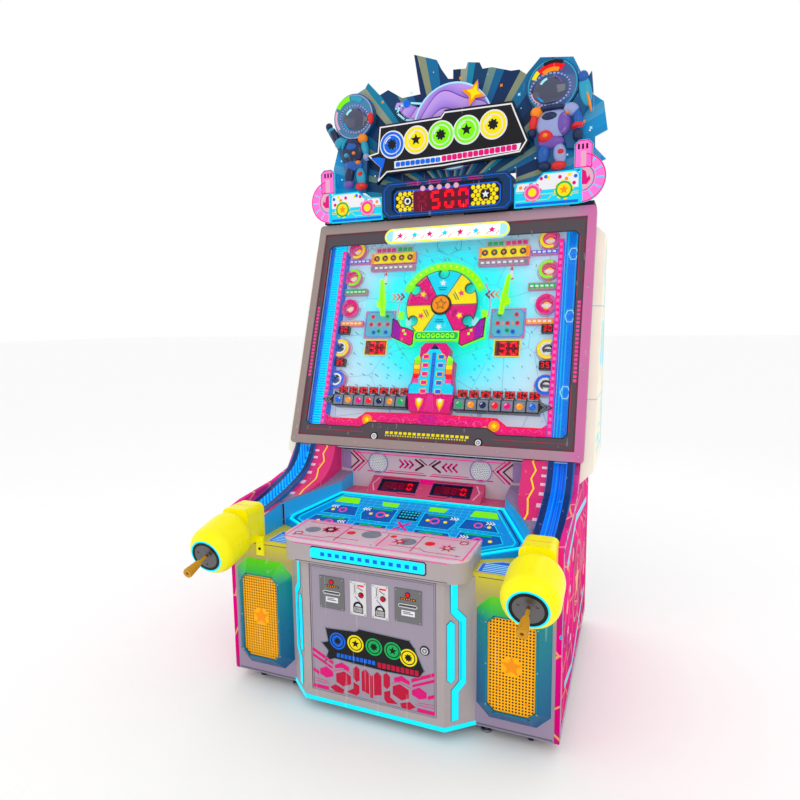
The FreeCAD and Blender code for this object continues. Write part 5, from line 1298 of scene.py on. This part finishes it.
buildDisplay()
buildSideBoxes()
buildTitle()
buildPlanet()
buildFigures()
fanStars = [star(x, z, 9, 4, 4, 45) for x, z in ((-260, 2500), (-330, 2540), (-380, 2470), (250, 2530),
                                                 (330, 2480), (610, 2330), (-180, 2560), (60, 2590),
                                                 (640, 2300), (-500, 2300))]
layer("fanStars", onFront(marquee["fanFront"]), fanStars[::2], lit["paleCyan"])
layer("fanStarsWarm", onFront(marquee["fanFront"]), fanStars[1::2], lit["orange"])
scatter("fanDots", onFront(marquee["fanFront"]), [(x, z) for x in range(-560, 640, 46) for z in (2200, 2290)
                                     if abs(x) > 360], 0.004, 0.001, lit["white"])
print("marquee dressed")


# Deck and score panel
deck = {"railWidth": 9, "railHeight": 5}


def buildDeck():
    rim = [(352, 124), (494, 196), (498, 222), (372, 436)]
    outline = rim + [(-a, b) for a, b in reversed(rim)]
    inner = [(340, 132), (476, 200), (480, 222), (362, 426)]
    second = inner + [(-a, b) for a, b in reversed(inner)]
    layer("deckRailOuter", onDeck, stroke(outline, deck["railWidth"], True), bright["cyan"],
          height=deck["railHeight"])
    layer("deckRailLine", onDeck, stroke(second, 4, True), ink["navy"], height=1)
    layer("deckRailInner", onDeck, stroke([(a * 0.965, b + (2 if b < 300 else -6)) for a, b in second], 5,
                                          True), lit["cyan"], height=3)
    panels = [[(60, 150), (200, 150), (220, 190), (200, 230), (60, 230)],
              [(230, 160), (330, 160), (420, 205), (400, 250), (240, 250)],
              [(60, 250), (190, 250), (210, 300), (190, 350), (60, 350)],
              [(225, 270), (390, 270), (350, 340), (240, 340)]]
    layer("deckPanels", onDeck, bothSides(panels), finishes["deckTile"], height=0.6)
    edges = []
    for panel in panels:
        edges += stroke(panel, 3.5, True)
    layer("deckPanelEdges", onDeck, bothSides(edges), lit["cyan"], base=0.6)
    layer("deckLime", onDeck, bothSides([[(250, 362), (370, 362), (352, 406), (262, 406)],
                                         [(70, 366), (140, 366), (150, 398), (70, 398)]]), lit["lime"],
          height=0.8)
    layer("deckHeaders", onDeck, bothSides([rect(80, 180, 214, 222), rect(260, 370, 236, 244),
                                            rect(80, 170, 334, 342)]), lit["green"], base=0.6, height=0.8)
    cross = stroke([(-26, 214), (26, 266)], 9) + stroke([(-26, 266), (26, 214)], 9)
    layer("deckCross", onDeck, cross, lit["magenta"], height=1.2)
    rings = ring(120, 190, 14, 21) + ring(320, 205, 14, 21) + ring(120, 300, 14, 21) + ring(300, 305, 12,
            18)
    layer("deckRings", onDeck, bothSides(rings), lit["pink"], base=0.6, height=0.8)
    icons = [disc(x, y, 8, 14) for x, y in ((170, 190), (85, 190), (280, 190), (370, 210), (90, 300),
                                            (165, 300), (345, 300))]
    layer("deckIcons", onDeck, bothSides(icons), lit["yellow"], base=0.6, height=0.8)
    arrows = [shape for x, y in ((190, 170), (250, 220), (180, 330), (330, 325))
              for shape in chevrons(x, y, 8, 4, 3, 12)]
    layer("deckArrows", onDeck, bothSides(arrows), lit["white"], base=0.6, height=0.8)
    grid = [rect(-340, 340, y, y + 1.2) for y in range(144, 420, 23)] + [rect(x, x + 1.2, 140, 410)
            for x in range(-330, 331, 30)]
    layer("deckGrid", onDeck, grid, lit["cyan"], height=0.3)
    layer("deckCentreBar", onDeck, [rect(-44, 44, 150, 196), rect(-44, 44, 286, 352)], ink["navy"],
          height=0.8)
    layer("deckCentreMarks", onDeck, [rect(-36 + 14 * k, -28 + 14 * k, y, y + 8) for k in range(6)
                                      for y in (160, 178, 300, 320, 338)], lit["cyan"], base=0.8)


def buildScore():
    shapes = [rect(s * 125 - 86, s * 125 + 86, 30, 90) for s in (-1, 1)]
    layer("scoreDisplays", onScore, shapes, ink["black"], base=-4, height=3)
    layer("scoreBezels", onScore, [b for s in (-1, 1)
                                   for b in stroke(rect(s * 125 - 88, s * 125 + 88, 28, 92), 7, True)],
          ink["navy"], base=0, height=2)
    layer("scoreGlow", onScore, [rect(s * 125 - 76, s * 125 + 76, 38, 82) for s in (-1, 1)], ink["wine"],
          base=-1, height=0.4)
    for name, x in (("Left", -125), ("Right", 125)):
        layer("scoreDigit" + name, onScore, digits("0", x + 54, 60, 42), bright["red"], base=-0.6)
        layer("scoreUnlit" + name, onScore, digits("88", x - 4, 60, 42), ink["maroon"], base=-0.6,
              height=0.3)
        layer("scorePips" + name, onScore, [disc(x - 70 + 8 * k, 33.5, 2, 8) for k in range(4)],
              lit["magenta"], base=-0.6)
    layer("scoreTab", onScore, [[(-26, 84), (26, 84), (34, 112), (-34, 112)]], lit["magenta"], base=0.2,
          height=2)
    layer("scoreStripes", onScore, bothSides(stroke([(232, 20), (252, 60), (232, 100)], 5)), ink["blush"],
          base=0.2)
    layer("scoreLines", onScore, bothSides(stroke([(30, 14), (110, 14), (122, 22), (216, 22)], 3)
                                           + stroke([(40, 106), (214, 106)], 3)), ink["wine"], base=0.2)
    panel = onFront(565.0)
    layer("speakerWalls", panel, bothSides([[(384, 790), (434, 800), (434, 883), (384, 883)]]),
          ink["lilac"])
    layer("speakerTrim", panel, bothSides(stroke([(372, 786), (318, 836), (372, 882)], 9)
                                          + stroke([(350, 786), (298, 836), (350, 882)], 4)),
          ink["magenta"])
    layer("speakerTrimWine", panel, bothSides(stroke([(384, 800), (344, 836), (384, 872)], 7)), ink["wine"])
    layer("panelLowTrim", panel, bothSides([rect(8, 300, 788, 793), rect(20, 190, 798, 801)]),
          ink["magenta"])
    layer("speakerRims", panel, bothSides(ring(245, 833, 45, 51)), ink["lilac"], height=2)
    layer("speakerMesh", panel, bothSides([disc(245, 833, 44.5, 40)]), ink["white"], base=-1.5, height=1.5)
    holes = [(side * 245 + r * math.cos(2 * math.pi * k / count),
              833 + r * math.sin(2 * math.pi * k / count)) for side in (-1, 1)
             for r, count in ((0.1, 1), (8, 6), (16, 12), (24, 18), (32, 24), (39, 30))
             for k in range(count)]
    scatter("speakerHoles", panel, holes, 0.0021, 0.0006, ink["black"], sides=6)
    layer("panelTopTrim", panel, [rect(-364, 364, 872, 878)], lit["pink"])
    layer("panelChevrons", panel, bothSides(chevrons(136, 836, 17, 9, 3, 24, -1)), ink["magenta"])
    layer("panelCross", panel, bothSides(stroke([(58, 860), (22, 836), (58, 812)], 9)
                                         + stroke([(38, 864), (6, 840)], 5)), ink["wine"])


buildDeck()
buildScore()
print("deck dressed")


# Console, coin door and wings
console = {"front": -77.0, "headFront": -95.0, "topZ": 692.0}


def buildConsole():
    sign = onFront(-98.0)
    layer("signStrip", sign, [chamfered(-219, 213, 631, 663, 4)], bright["cyan"], height=0.4)
    dashes = [rect(-186 + 30 * k, -170 + 30 * k, 640, 654) for k in range(13)]
    layer("signDashes", sign, dashes, ink["blue"], base=0.4, height=0.3)
    layer("signRim", onFront(console["headFront"]), stroke(chamfered(-228, 220, 624, 670, 6), 4, True),
          ink["navy"])
    top = onTop(console["topZ"])
    edge = [(-346, -84), (346, -84), (352, 104), (-352, 104)]
    layer("topEdge", top, stroke(edge, 6, True), lit["pink"])
    layer("topBoard", top, [rect(-338, 338, -78, 98)], finishes["topBoard"], height=0.3)
    layer("topBlots", top, [disc(-40, 34, 38, 28), disc(112, 12, 34, 28), disc(-276, 10, 30, 28)],
          ink["slate"], base=0.3, height=0.2)
    layer("topBlotsPale", top, [disc(-180, 40, 46, 28), disc(40, -20, 44, 28), disc(230, 44, 50, 28)],
          ink["blush"], base=0.3, height=0.3)
    layer("topLamps", top, [disc(-120, 26, 17, 24), disc(196, 20, 19, 24), disc(46, 44, 12, 20)],
          ink["red"], base=0.6)
    emblems = [gear(-210, 30, 30, 10), star(-210, 30, 40, 15, 8), star(86, 4, 34, 13, 6),
               star(268, 0, 34, 14, 7)]
    layer("topEmblems", top, emblems, ink["maroonRed"], base=0.6)
    layer("topEmblemCores", top, [disc(-210, 30, 11, 16), disc(86, 4, 9, 16), disc(268, 0, 10, 16)],
          ink["blush"], base=1.1, height=0.3)
    layer("topRings", top, ring(310, 66, 12, 17, 14) + ring(-310, -40, 12, 17, 14), ink["maroonRed"],
          base=0.6)
    lines = stroke([(-330, -56), (-200, -56), (-180, -38), (-60, -38)],
                   3) + stroke([(330, -56), (200, -56), (180, -38), (60, -38)], 3)
    lines += stroke([(-330, 84), (-160, 84), (-140, 70), (140, 70), (160, 84), (330, 84)], 3)
    lines += [rect(-150, -146, -70, 90), rect(20, 24, -70, 60), rect(150, 154, -70, 90)]
    layer("topLines", top, lines, ink["magenta"], base=0.6)
    scatter("topScrews", top, [(x, y) for x in (-318, 0, 318) for y in (-64, 86)], 0.0045, 0.0014,
            metals["steel"], sides=12)
    head = onFront(console["headFront"])
    layer("headSeam", head, [rect(-296, 296, 608, 611)], ink["grey"], height=0.3)
    layer("headEdgeTop", head, [rect(-296, 296, 674, 677)], lit["pink"], height=0.3)
    for side, name in hands:
        face = onChamfer(side)
        strip = [(23, 600), (50, 600), (50, 498), (82, 461), (82, 220), (53, 191), (53, 85), (27, 85),
                 (27, 201), (56, 230), (56, 452), (24, 489)]
        layer("chamferOutline" + name, face, stroke(strip, 3, True), ink["navy"], base=0, height=1.4)
        layer("chamferSlit" + name, face, stroke([(62, 236), (62, 450)], 2), ink["navy"], base=3,
              height=0.4)
        inner = [(10, 447), (24, 460), (38, 445), (38, 240), (24, 228), (10, 241)]
        layer("chamferInner" + name, face, stroke(inner, 2.5, True), ink["navy"], base=0, height=1.4)


coin = {"left": -246.0, "right": 248.0, "low": 95.0, "high": 592.0, "lineInset": 6.0}


def buildCoinDoor():
    face = onFront(console["front"])
    body = "coin_door"
    inset = coin["lineInset"]
    frame = rect(coin["left"] + inset, coin["right"] - inset, coin["low"] + inset, coin["high"] - inset)
    layer("doorEdgeLine", face, stroke(frame, 1.6, True), ink["grey"], body, height=0.3)
    badge = [(-186, 352), (-60, 360), (-46, 372), (150, 366), (170, 340), (206, 262), (186, 232), (60, 228),
             (-70, 232), (-150, 236), (-194, 214), (-176, 262), (-204, 290), (-176, 300)]
    layer("badgeBoard", face, [badge], ink["black"], body, height=0.4)
    layer("badgeEdge", face, stroke(badge, 3, True), ink["slate"], body, base=0.4)
    spots = ((-136, 308, "blue"), (-62, 312, "yellow"), (12, 314, "green"), (86, 314, "green"),
             (146, 300, "yellow"))
    for tone in ("blue", "yellow", "green"):
        places = [(x, z) for x, z, key in spots if key == tone]
        layer("badgeRing" + tone.capitalize(), face, [s for x, z in places for s in ring(x, z, 27, 33, 14)],
              ink[tone], body, base=0.4)
        layer("badgeBall" + tone.capitalize(), face, [disc(x, z, 23, 20) for x, z in places], ink[tone],
              body, base=0.4)
    marks = [star(x, z, 16, 7) if k % 2 else gear(x, z, 14, 8) for k, (x, z, tone) in enumerate(spots)]
    layer("badgeMarks", face, marks, ink["black"], body, base=0.9)
    layer("badgeBlue", face, [rect(-140 + 16 * k, -128 + 16 * k, 244, 260) for k in range(10)], ink["blue"],
          body, base=0.4)
    layer("badgePink", face, [rect(26 + 18 * k, 40 + 18 * k, 238, 258) for k in range(9)], ink["maroonRed"],
          body, base=0.4)
    cells = [[(10, 206), (24, 220), (40, 206), (40, 132), (10, 124)],
             [(48, 214), (60, 224), (74, 212), (74, 176), (62, 160), (48, 170)]]
    layer("hexColumns", face, bothSides(cells), ink["maroonRed"], body)
    layer("hexCentre", face, bothSides([[(0.5, 196), (6, 204), (6, 112), (0.5, 112)]]), ink["maroonRed"],
          body)
    large = [[(84, 178), (112, 192), (146, 176), (146, 144), (118, 130), (84, 146)],
             [(50, 148), (74, 158), (74, 132), (104, 112), (62, 106), (50, 118)],
             [(112, 118), (150, 132), (172, 116), (150, 102), (118, 102)]]
    layer("hexLarge", face, bothSides(large), ink["maroonRed"], body)
    magentaCells = [[(90, 212), (120, 226), (150, 210), (150, 196), (118, 204), (90, 196)],
                    [(158, 180), (186, 196), (214, 182), (214, 160), (186, 150), (158, 162)]]
    layer("hexMagenta", face, bothSides(magentaCells), ink["magenta"], body)
    stripes = [rect(178, 244, 102, 116), [(156, 222), (244, 264), (244, 250), (156, 208)],
               [(160, 200), (244, 240), (244, 228), (160, 190)],
               [(218, 170), (244, 182), (244, 168), (218, 156)]]
    layer("hexStripes", face, bothSides(stripes), ink["magenta"], body)
    fine = stroke([(176, 128), (244, 128)], 2) + stroke([(182, 136), (244, 140)],
                                                        2) + stroke([(80, 188), (110, 200), (156, 184)], 2)
    layer("hexFine", face, bothSides(fine), ink["magenta"], body)
    layer("coinLockRing", face, ring(208, 340, 14, 18), ink["black"], body, height=0.8)
    layer("coinLockFace", onFront(-81.0), ring(208, 340, 5, 9), ink["grey"], "coin_lock", height=0.3)
    plateFace = onFront(-80.0)
    for name, x0 in (("Left", -78.0), ("Right", 8.4)):
        z0 = 427.0
        layer("coinSlotTrim" + name, plateFace, stroke(rect(x0 + 15, x0 + 24, z0 + 80, z0 + 118), 2.5,
                                                       True), metals["chrome"], body, height=1.2)
        layer("coinGroove" + name, plateFace, stroke([(x0 + 30, z0 + 106), (x0 + 50, z0 + 96)], 3),
              ink["grey"], body, height=0.4)
        layer("coinButtonRing" + name, plateFace, ring(x0 + 44, z0 + 78, 8, 11), ink["black"], body,
              height=1)
        layer("coinGuide" + name, plateFace, stroke([(x0 + 20, z0 + 70), (x0 + 40, z0 + 50)], 4),
              ink["lilac"], body, height=0.4)
        layer("cupTrim" + name, plateFace, stroke(rect(x0 + 14, x0 + 50, z0 + 10, z0 + 32), 2.5, True),
              ink["black"], body, height=1)
        layer("cupCrescent" + name, plateFace, [arcBand(x0 + 32, z0 + 32, 12, 20, 0, 180, 12)],
              ink["black"], body, height=0.5)
        layer("coinMark" + name, plateFace, [rect(x0 + 30, x0 + 56, z0 + 110, z0 + 116)], ink["red"], body,
              height=0.4)
        scatter("coinPlateScrews" + name, plateFace,
                [(x0 + dx, z0 + dz) for dx in (5, 59) for dz in (5, 122)], 0.0028, 0.001, metals["steel"],
                body, 10)
    for name, x0 in (("Left", -204.0), ("Right", 97.0)):
        z0 = 432.0
        layer("ticketLamp" + name, plateFace, [disc(x0 + 50, z0 + 104, 7, 16)], lit["red"], body, height=2)
        layer("ticketLampRing" + name, plateFace, ring(x0 + 50, z0 + 104, 7, 10), ink["black"], body,
              height=1)
        layer("ticketStrip" + name, plateFace, [rect(x0 + 22, x0 + 80, z0 + 84, z0 + 92)], ink["black"],
              body)
        layer("ticketStripMark" + name, plateFace, [rect(x0 + 26 + 9 * j, x0 + 31 + 9 * j, z0 + 86, z0 + 90)
                                                    for j in range(6)], ink["orange"], body, base=0.5)
        layer("ticketLip" + name, plateFace, stroke(rect(x0 + 16, x0 + 85, z0 + 58, z0 + 69), 3, True),
              metals["chrome"], body, height=2.2)
        layer("ticketLabel" + name, plateFace, [rect(x0 + 26, x0 + 76, z0 + 26, z0 + 46)], ink["white"],
              body)
        layer("ticketLabelMark" + name, plateFace, [rect(x0 + 32, x0 + 70, z0 + 33, z0 + 36),
                                                    rect(x0 + 32, x0 + 60, z0 + 39, z0 + 42)], ink["grey"],
              body, base=0.5)
        scatter("ticketScrews" + name, plateFace, [(x0 + dx, z0 + dz) for dx in (6, 95) for dz in (6, 118)],
                0.003, 0.001, metals["steel"], body, 10)
    for name, x0 in (("Left", -78.0), ("Right", 8.4)):
        layer("returnCap" + name, onFront(-86.0), ring(x0 + 44, 505, 2.5, 5), ink["wine"],
              "coin_return_" + name.lower(), height=0.3)


wing = {"x": 503.5, "z": 316.5, "pitch": 11.2, "starR": 37.0}


def buildWings():
    face = onFront(-32.0)
    spots = []
    for j in range(30):
        for k in range(14):
            x, z = wing["pitch"] * (k - 6.5), wing["pitch"] * (j - 14.5)
            if abs(x) + abs(z) < 226 and math.hypot(x, z) > wing["starR"]:
                spots.append((x, z))
    for side, name in hands:
        cx, cz = side * wing["x"], wing["z"]
        scatter("grilleHoles" + name, face, [(cx + x, cz + z) for x, z in spots], 0.0035, 0.0005,
                ink["black"])
        layer("grilleStar" + name, face, [star(cx, cz, wing["starR"], 16)], ink["orange"], height=1.2)
        layer("grilleStars" + name, face, [star(cx + x, cz + z, 8, 3.5)
                                           for x, z in ((-50, 110), (48, 70), (-44, -84), (52, -126),
                                                        (0, 140))], ink["orange"], height=1)
        frameFace = onFront(-40.0)
        edge = chamfered(cx - 87, cx + 87, cz - 175, cz + 175, 27)
        layer("bezelFaceLine" + name, frameFace, stroke(edge, 5, True), ink["teal"], height=0.4)
        scatter("bezelScrews" + name, frameFace, [(cx + sx * 87.5, cz + sz * 150) for sx in (-1, 1)
                                                  for sz in (-1, 0, 1)], 0.0032, 0.001, metals["steel"],
                sides=10)
        wingFace = onFront(0.0)
        layer("wingSeam" + name, wingFace, [rect(side * 508 - 128, side * 508 + 126, 604, 607)],
              ink["grey"], height=0.3)
        ledge = onTop(620.0)
        layer("ledgeTray" + name, ledge, [[(side * 372, 8), (side * 486, 8), (side * 486, 118),
                                           (side * 440, 118), (side * 372, 84)]], lit["blue"], height=0.6)
        layer("ledgeTrayEdge" + name, ledge, stroke([(side * 372, 8), (side * 486, 8), (side * 486, 118),
                                                     (side * 440, 118), (side * 372, 84)], 4, True),
              ink["white"], base=0.6)
        layer("ledgeMarks" + name, ledge, [rect(side * 430 - 44, side * 430 + 44, 22 + 15 * k, 27 + 15 * k)
                                           for k in range(5)], lit["paleCyan"], base=0.6)
    layer("wingKick", onFront(0.0), bothSides([rect(372, 640, 54, 60)]), ink["grey"], height=0.4)


def buildLaunchers():
    for side, name in hands:
        body = "plunger_r" if side > 0 else "plunger_l"
        nose = onLauncher(side, 0.0)
        layer("mouthRing" + name, nose, ring(0, 0, 59.5, 65.5, 32), bright["cyan"], height=1.2)
        layer("blackRing" + name, onLauncher(side, 0.0), ring(0, 0, 48.5, 58.5, 32), ink["black"],
              height=2.6)
        layer("plateRing" + name, onLauncher(side, 2.0), ring(0, 0, 20, 24, 24), ink["grey"], height=0.5)
        scatter("plateScrews" + name, onLauncher(side, -1.0),
                [(33 * math.cos(math.radians(90 + 120 * k)), 33 * math.sin(math.radians(90 + 120 * k)))
                 for k in range(3)], 0.0046, 0.002, ink["black"], sides=12)
        for k in range(5):
            t = 52 + 11 * k
            r = 11.4 + (t - 38) * 6 / 66
            layer("gripRib%d%s" % (k, name), onLauncher(side, float(t)), ring(0, 0, r - 2, r + 1.6, 20),
                  finishes["grip"], body, height=4)
        layer("footFlange" + name, onFront(-8.0), [chamfered(side * 514 - 14, side * 514 + 14, 568, 632,
                4)], finishes["yellow"], height=1)
        scatter("footScrew" + name, onFront(-9.0), [(side * 514, 590)], 0.006, 0.002, ink["black"],
                sides=12)
        collar = onTop(762.0)
        layer("collarSeam" + name, collar, [rect(side * 586 - 36, side * 586 + 36, -8, -5)], ink["orange"],
              height=0.3)


outside = {"x": 663.0, "boxX": 713.0}


def buildSides():
    for sign, name in hands:
        face = onSide(sign * outside["x"])
        inner = [(10, 60), (10, 734), (76, 747), (310, 768), (446, 795), (514, 872)]
        layer("sideTrim" + name, face, stroke(inner, 16), ink["lilac"], height=0.8)
        layer("sideTrimLine" + name, face, stroke([(22, 60), (22, 726), (80, 737), (312, 758), (452, 786),
                                                   (520, 862)], 3), ink["magenta"], height=0.6)
        screws = [(10, 120 + 110 * k) for k in range(6)] + [(140, 753), (240, 762), (380, 781)]
        scatter("sideScrews" + name, face, screws, 0.0045, 0.0016, metals["steel"], sides=12)
        big = ring(520, 420, 150, 166, 40) + ring(520, 420, 96, 104, 36)
        layer("sideRings" + name, face, big, ink["bronze"], height=0.4)
        layer("sideStar" + name, face, [star(520, 420, 84, 36, 5, 80)], ink["orange"], height=0.5)
        layer("sideBands" + name, face, [[(120, 620), (420, 700), (900, 640), (900, 668), (420, 730),
                                          (120, 650)], [(120, 180), (380, 110), (900, 210), (900, 236),
                                                        (380, 138), (120, 208)]], ink["cyan"], height=0.4)
        layer("sideChevrons" + name, face, chevrons(720, 420, 44, 16, 4, 44), ink["magenta"], height=0.4)
        layer("sideSmallStars" + name, face, [star(y, z, 20, 9)
                                              for y, z in ((240, 500), (300, 280), (820, 560), (760, 260),
                                                           (200, 360))], ink["white"], height=0.4)
        layer("sideCoins" + name, face, [disc(y, z, 26, 24)
                                         for y, z in ((160, 470), (330, 600), (860, 330))], ink["orange"],
              height=0.4)
        layer("sideKick" + name, face, [rect(30, 985, 56, 84)], ink["lilac"], height=0.6)
        boxFace = onSide(sign * outside["boxX"])
        lines = stroke([(700, 930), (960, 930), (960, 1180), (860, 1260), (860, 1500), (960, 1580),
                        (960, 1800)], 10)
        lines += stroke([(760, 1020), (900, 1020), (900, 1150)], 8) + stroke([(905, 1640), (905, 1780)], 8)
        layer("boxLines" + name, boxFace, lines, lit["cyan"], height=0.4)
        layer("boxPanels" + name, boxFace, [[(780, 1300), (840, 1280), (840, 1460), (820, 1480)],
                                            [(930, 1300), (990, 1260), (990, 1470), (930, 1480)],
                                            [(700, 960), (820, 960), (820, 990), (712, 990)]], lit["cyan"],
              height=0.4)
        layer("boxEdge" + name, boxFace, [rect(1000, 1010, 880, 1848)], ink["beige"], height=0.4)


back = {"y": 1015.0, "inletFloor": 1006.0, "fan": 892.0, "strut": 14.0}


def buildBack():
    face = onBack(back["y"])
    layer("backRibs", face, [rect(-620, 620, z, z + 6) for z in (900, 1320, 1700, 1930)],
          finishes["boardDark"], height=1.2)
    scatter("backScrews", face, [(x, z) for x in (-630, -320, 0, 320, 630)
                                 for z in (80, 500, 920, 1340, 1760, 1960) if abs(x) > 300 or z > 900],
            0.0045, 0.0015, metals["steel"], sides=12)
    vents = [rect(-180 + 24 * k, -168 + 24 * k, 1480, 1560) for k in range(16)]
    layer("backVents", face, vents, ink["black"], height=0.5)
    layer("backVentFrame", face, stroke(rect(-194, 220, 1468, 1572), 6, True), ink["grey"], height=1)
    layer("serviceEdge", face, stroke(rect(-238, 240, 162, 838), 4, True), ink["grey"], "service",
          height=0.6)
    layer("serviceLock", face, ring(215, 500, 6, 11), metals["chrome"], "service", height=1.6)
    layer("serviceLockFace", face, [disc(215, 500, 6.4, 16)], metals["steel"], "service", height=1.0)
    layer("inletPins", onBack(back["inletFloor"]), [rect(-456, -453, 147, 155), rect(-447, -444, 147, 155),
                                                    rect(-451.5, -448.5, 150, 154)], metals["chrome"],
          height=6)
    fanBack = onBack(back["fan"])
    layer("fanStruts", fanBack, [rect(x, x + 40, 2160, 2520) for x in (-400, -20, 360)], metals["steel"],
          height=back["strut"])
    scatter("fanBolts", onBack(back["fan"] + back["strut"]),
            [(x + 20, z) for x in (-400, -20, 360) for z in (2180, 2340, 2500)], 0.005, 0.003,
            metals["chrome"], sides=6)
    for corner, side, y in (("fl", -1, 56), ("fr", 1, 56), ("rl", -1, 950), ("rr", 1, 950)):
        def hub(a, b, h, side=side, y=y):
            return mm(side * 560 + side * (9 + h), y + a, 21.5 + b)
        body = "caster_" + corner
        layer("hub" + corner.upper(), hub, ring(0, 0, 4, 12, 12), metals["steel"], body, height=0.5)


buildConsole()
buildCoinDoor()
buildWings()
buildLaunchers()
buildSides()
buildBack()
print("cabinet dressed")


# Floor, light and camera
view = {"place": (862.4, -1915.1, 1478.2), "yaw": 0.3812, "pitch": -0.1288, "roll": -0.0119, "lens": 26.734}


def buildStage():
    build = bmesh.new()
    corners = [build.verts.new(p) for p in ((-60, -60, 0), (60, -60, 0), (60, 60, 0), (-60, 60, 0))]
    build.faces.new(corners)
    mesh = bpy.data.meshes.new("floor")
    build.to_mesh(mesh)
    build.free()
    mesh.materials.append(finishMaterial("floorPaint", (0.97, 0.97, 0.97), rough=0.9, bump=0.1, vary=0.02))
    floor = bpy.data.objects.new("floor", mesh)
    bpy.context.scene.collection.objects.link(floor)
    for name, place, size, power, target in (("keyLight", (2.2, -3.6, 3.6), 2.4, 26, (0, 0, 1.2)),
                                             ("fillLight", (-3.4, -2.8, 2.4), 3.0, 10, (0, 0, 1.1)),
                                             ("backLight", (0.5, 3.4, 3.8), 2.6, 12, (0, 0, 1.4))):
        light = bpy.data.lights.new(name, "AREA")
        light.size, light.energy = size, power
        holder = bpy.data.objects.new(name, light)
        holder.location = place
        holder.rotation_euler = (Vector(target) - Vector(place)).to_track_quat("-Z", "Y").to_euler()
        bpy.context.scene.collection.objects.link(holder)
    world = bpy.data.worlds.new("studio")
    world.use_nodes = True
    world.node_tree.nodes["Background"].inputs["Color"].default_value = (1, 1, 1, 1)
    world.node_tree.nodes["Background"].inputs["Strength"].default_value = 1.0
    bpy.context.scene.world = world
    bpy.context.scene.view_settings.view_transform = "Standard"


def buildCamera():
    yaw, pitch, roll = view["yaw"], view["pitch"], view["roll"]
    forward = Vector((-math.sin(yaw) * math.cos(pitch), math.cos(yaw) * math.cos(pitch), math.sin(pitch)))
    right = Vector((math.cos(yaw), math.sin(yaw), 0))
    up = right.cross(forward)
    side = right * math.cos(roll) + up * math.sin(roll)
    rise = up * math.cos(roll) - right * math.sin(roll)
    camera = bpy.data.cameras.new("camera")
    camera.lens = view["lens"]
    camera.sensor_width = 36
    holder = bpy.data.objects.new("camera", camera)
    turn = Matrix([side, rise, -forward]).transposed()
    holder.matrix_world = Matrix.Translation(mm(*view["place"])) @ turn.to_4x4()
    bpy.context.scene.collection.objects.link(holder)
    bpy.context.scene.camera = holder


buildStage()
buildCamera()
print("stage and camera set")
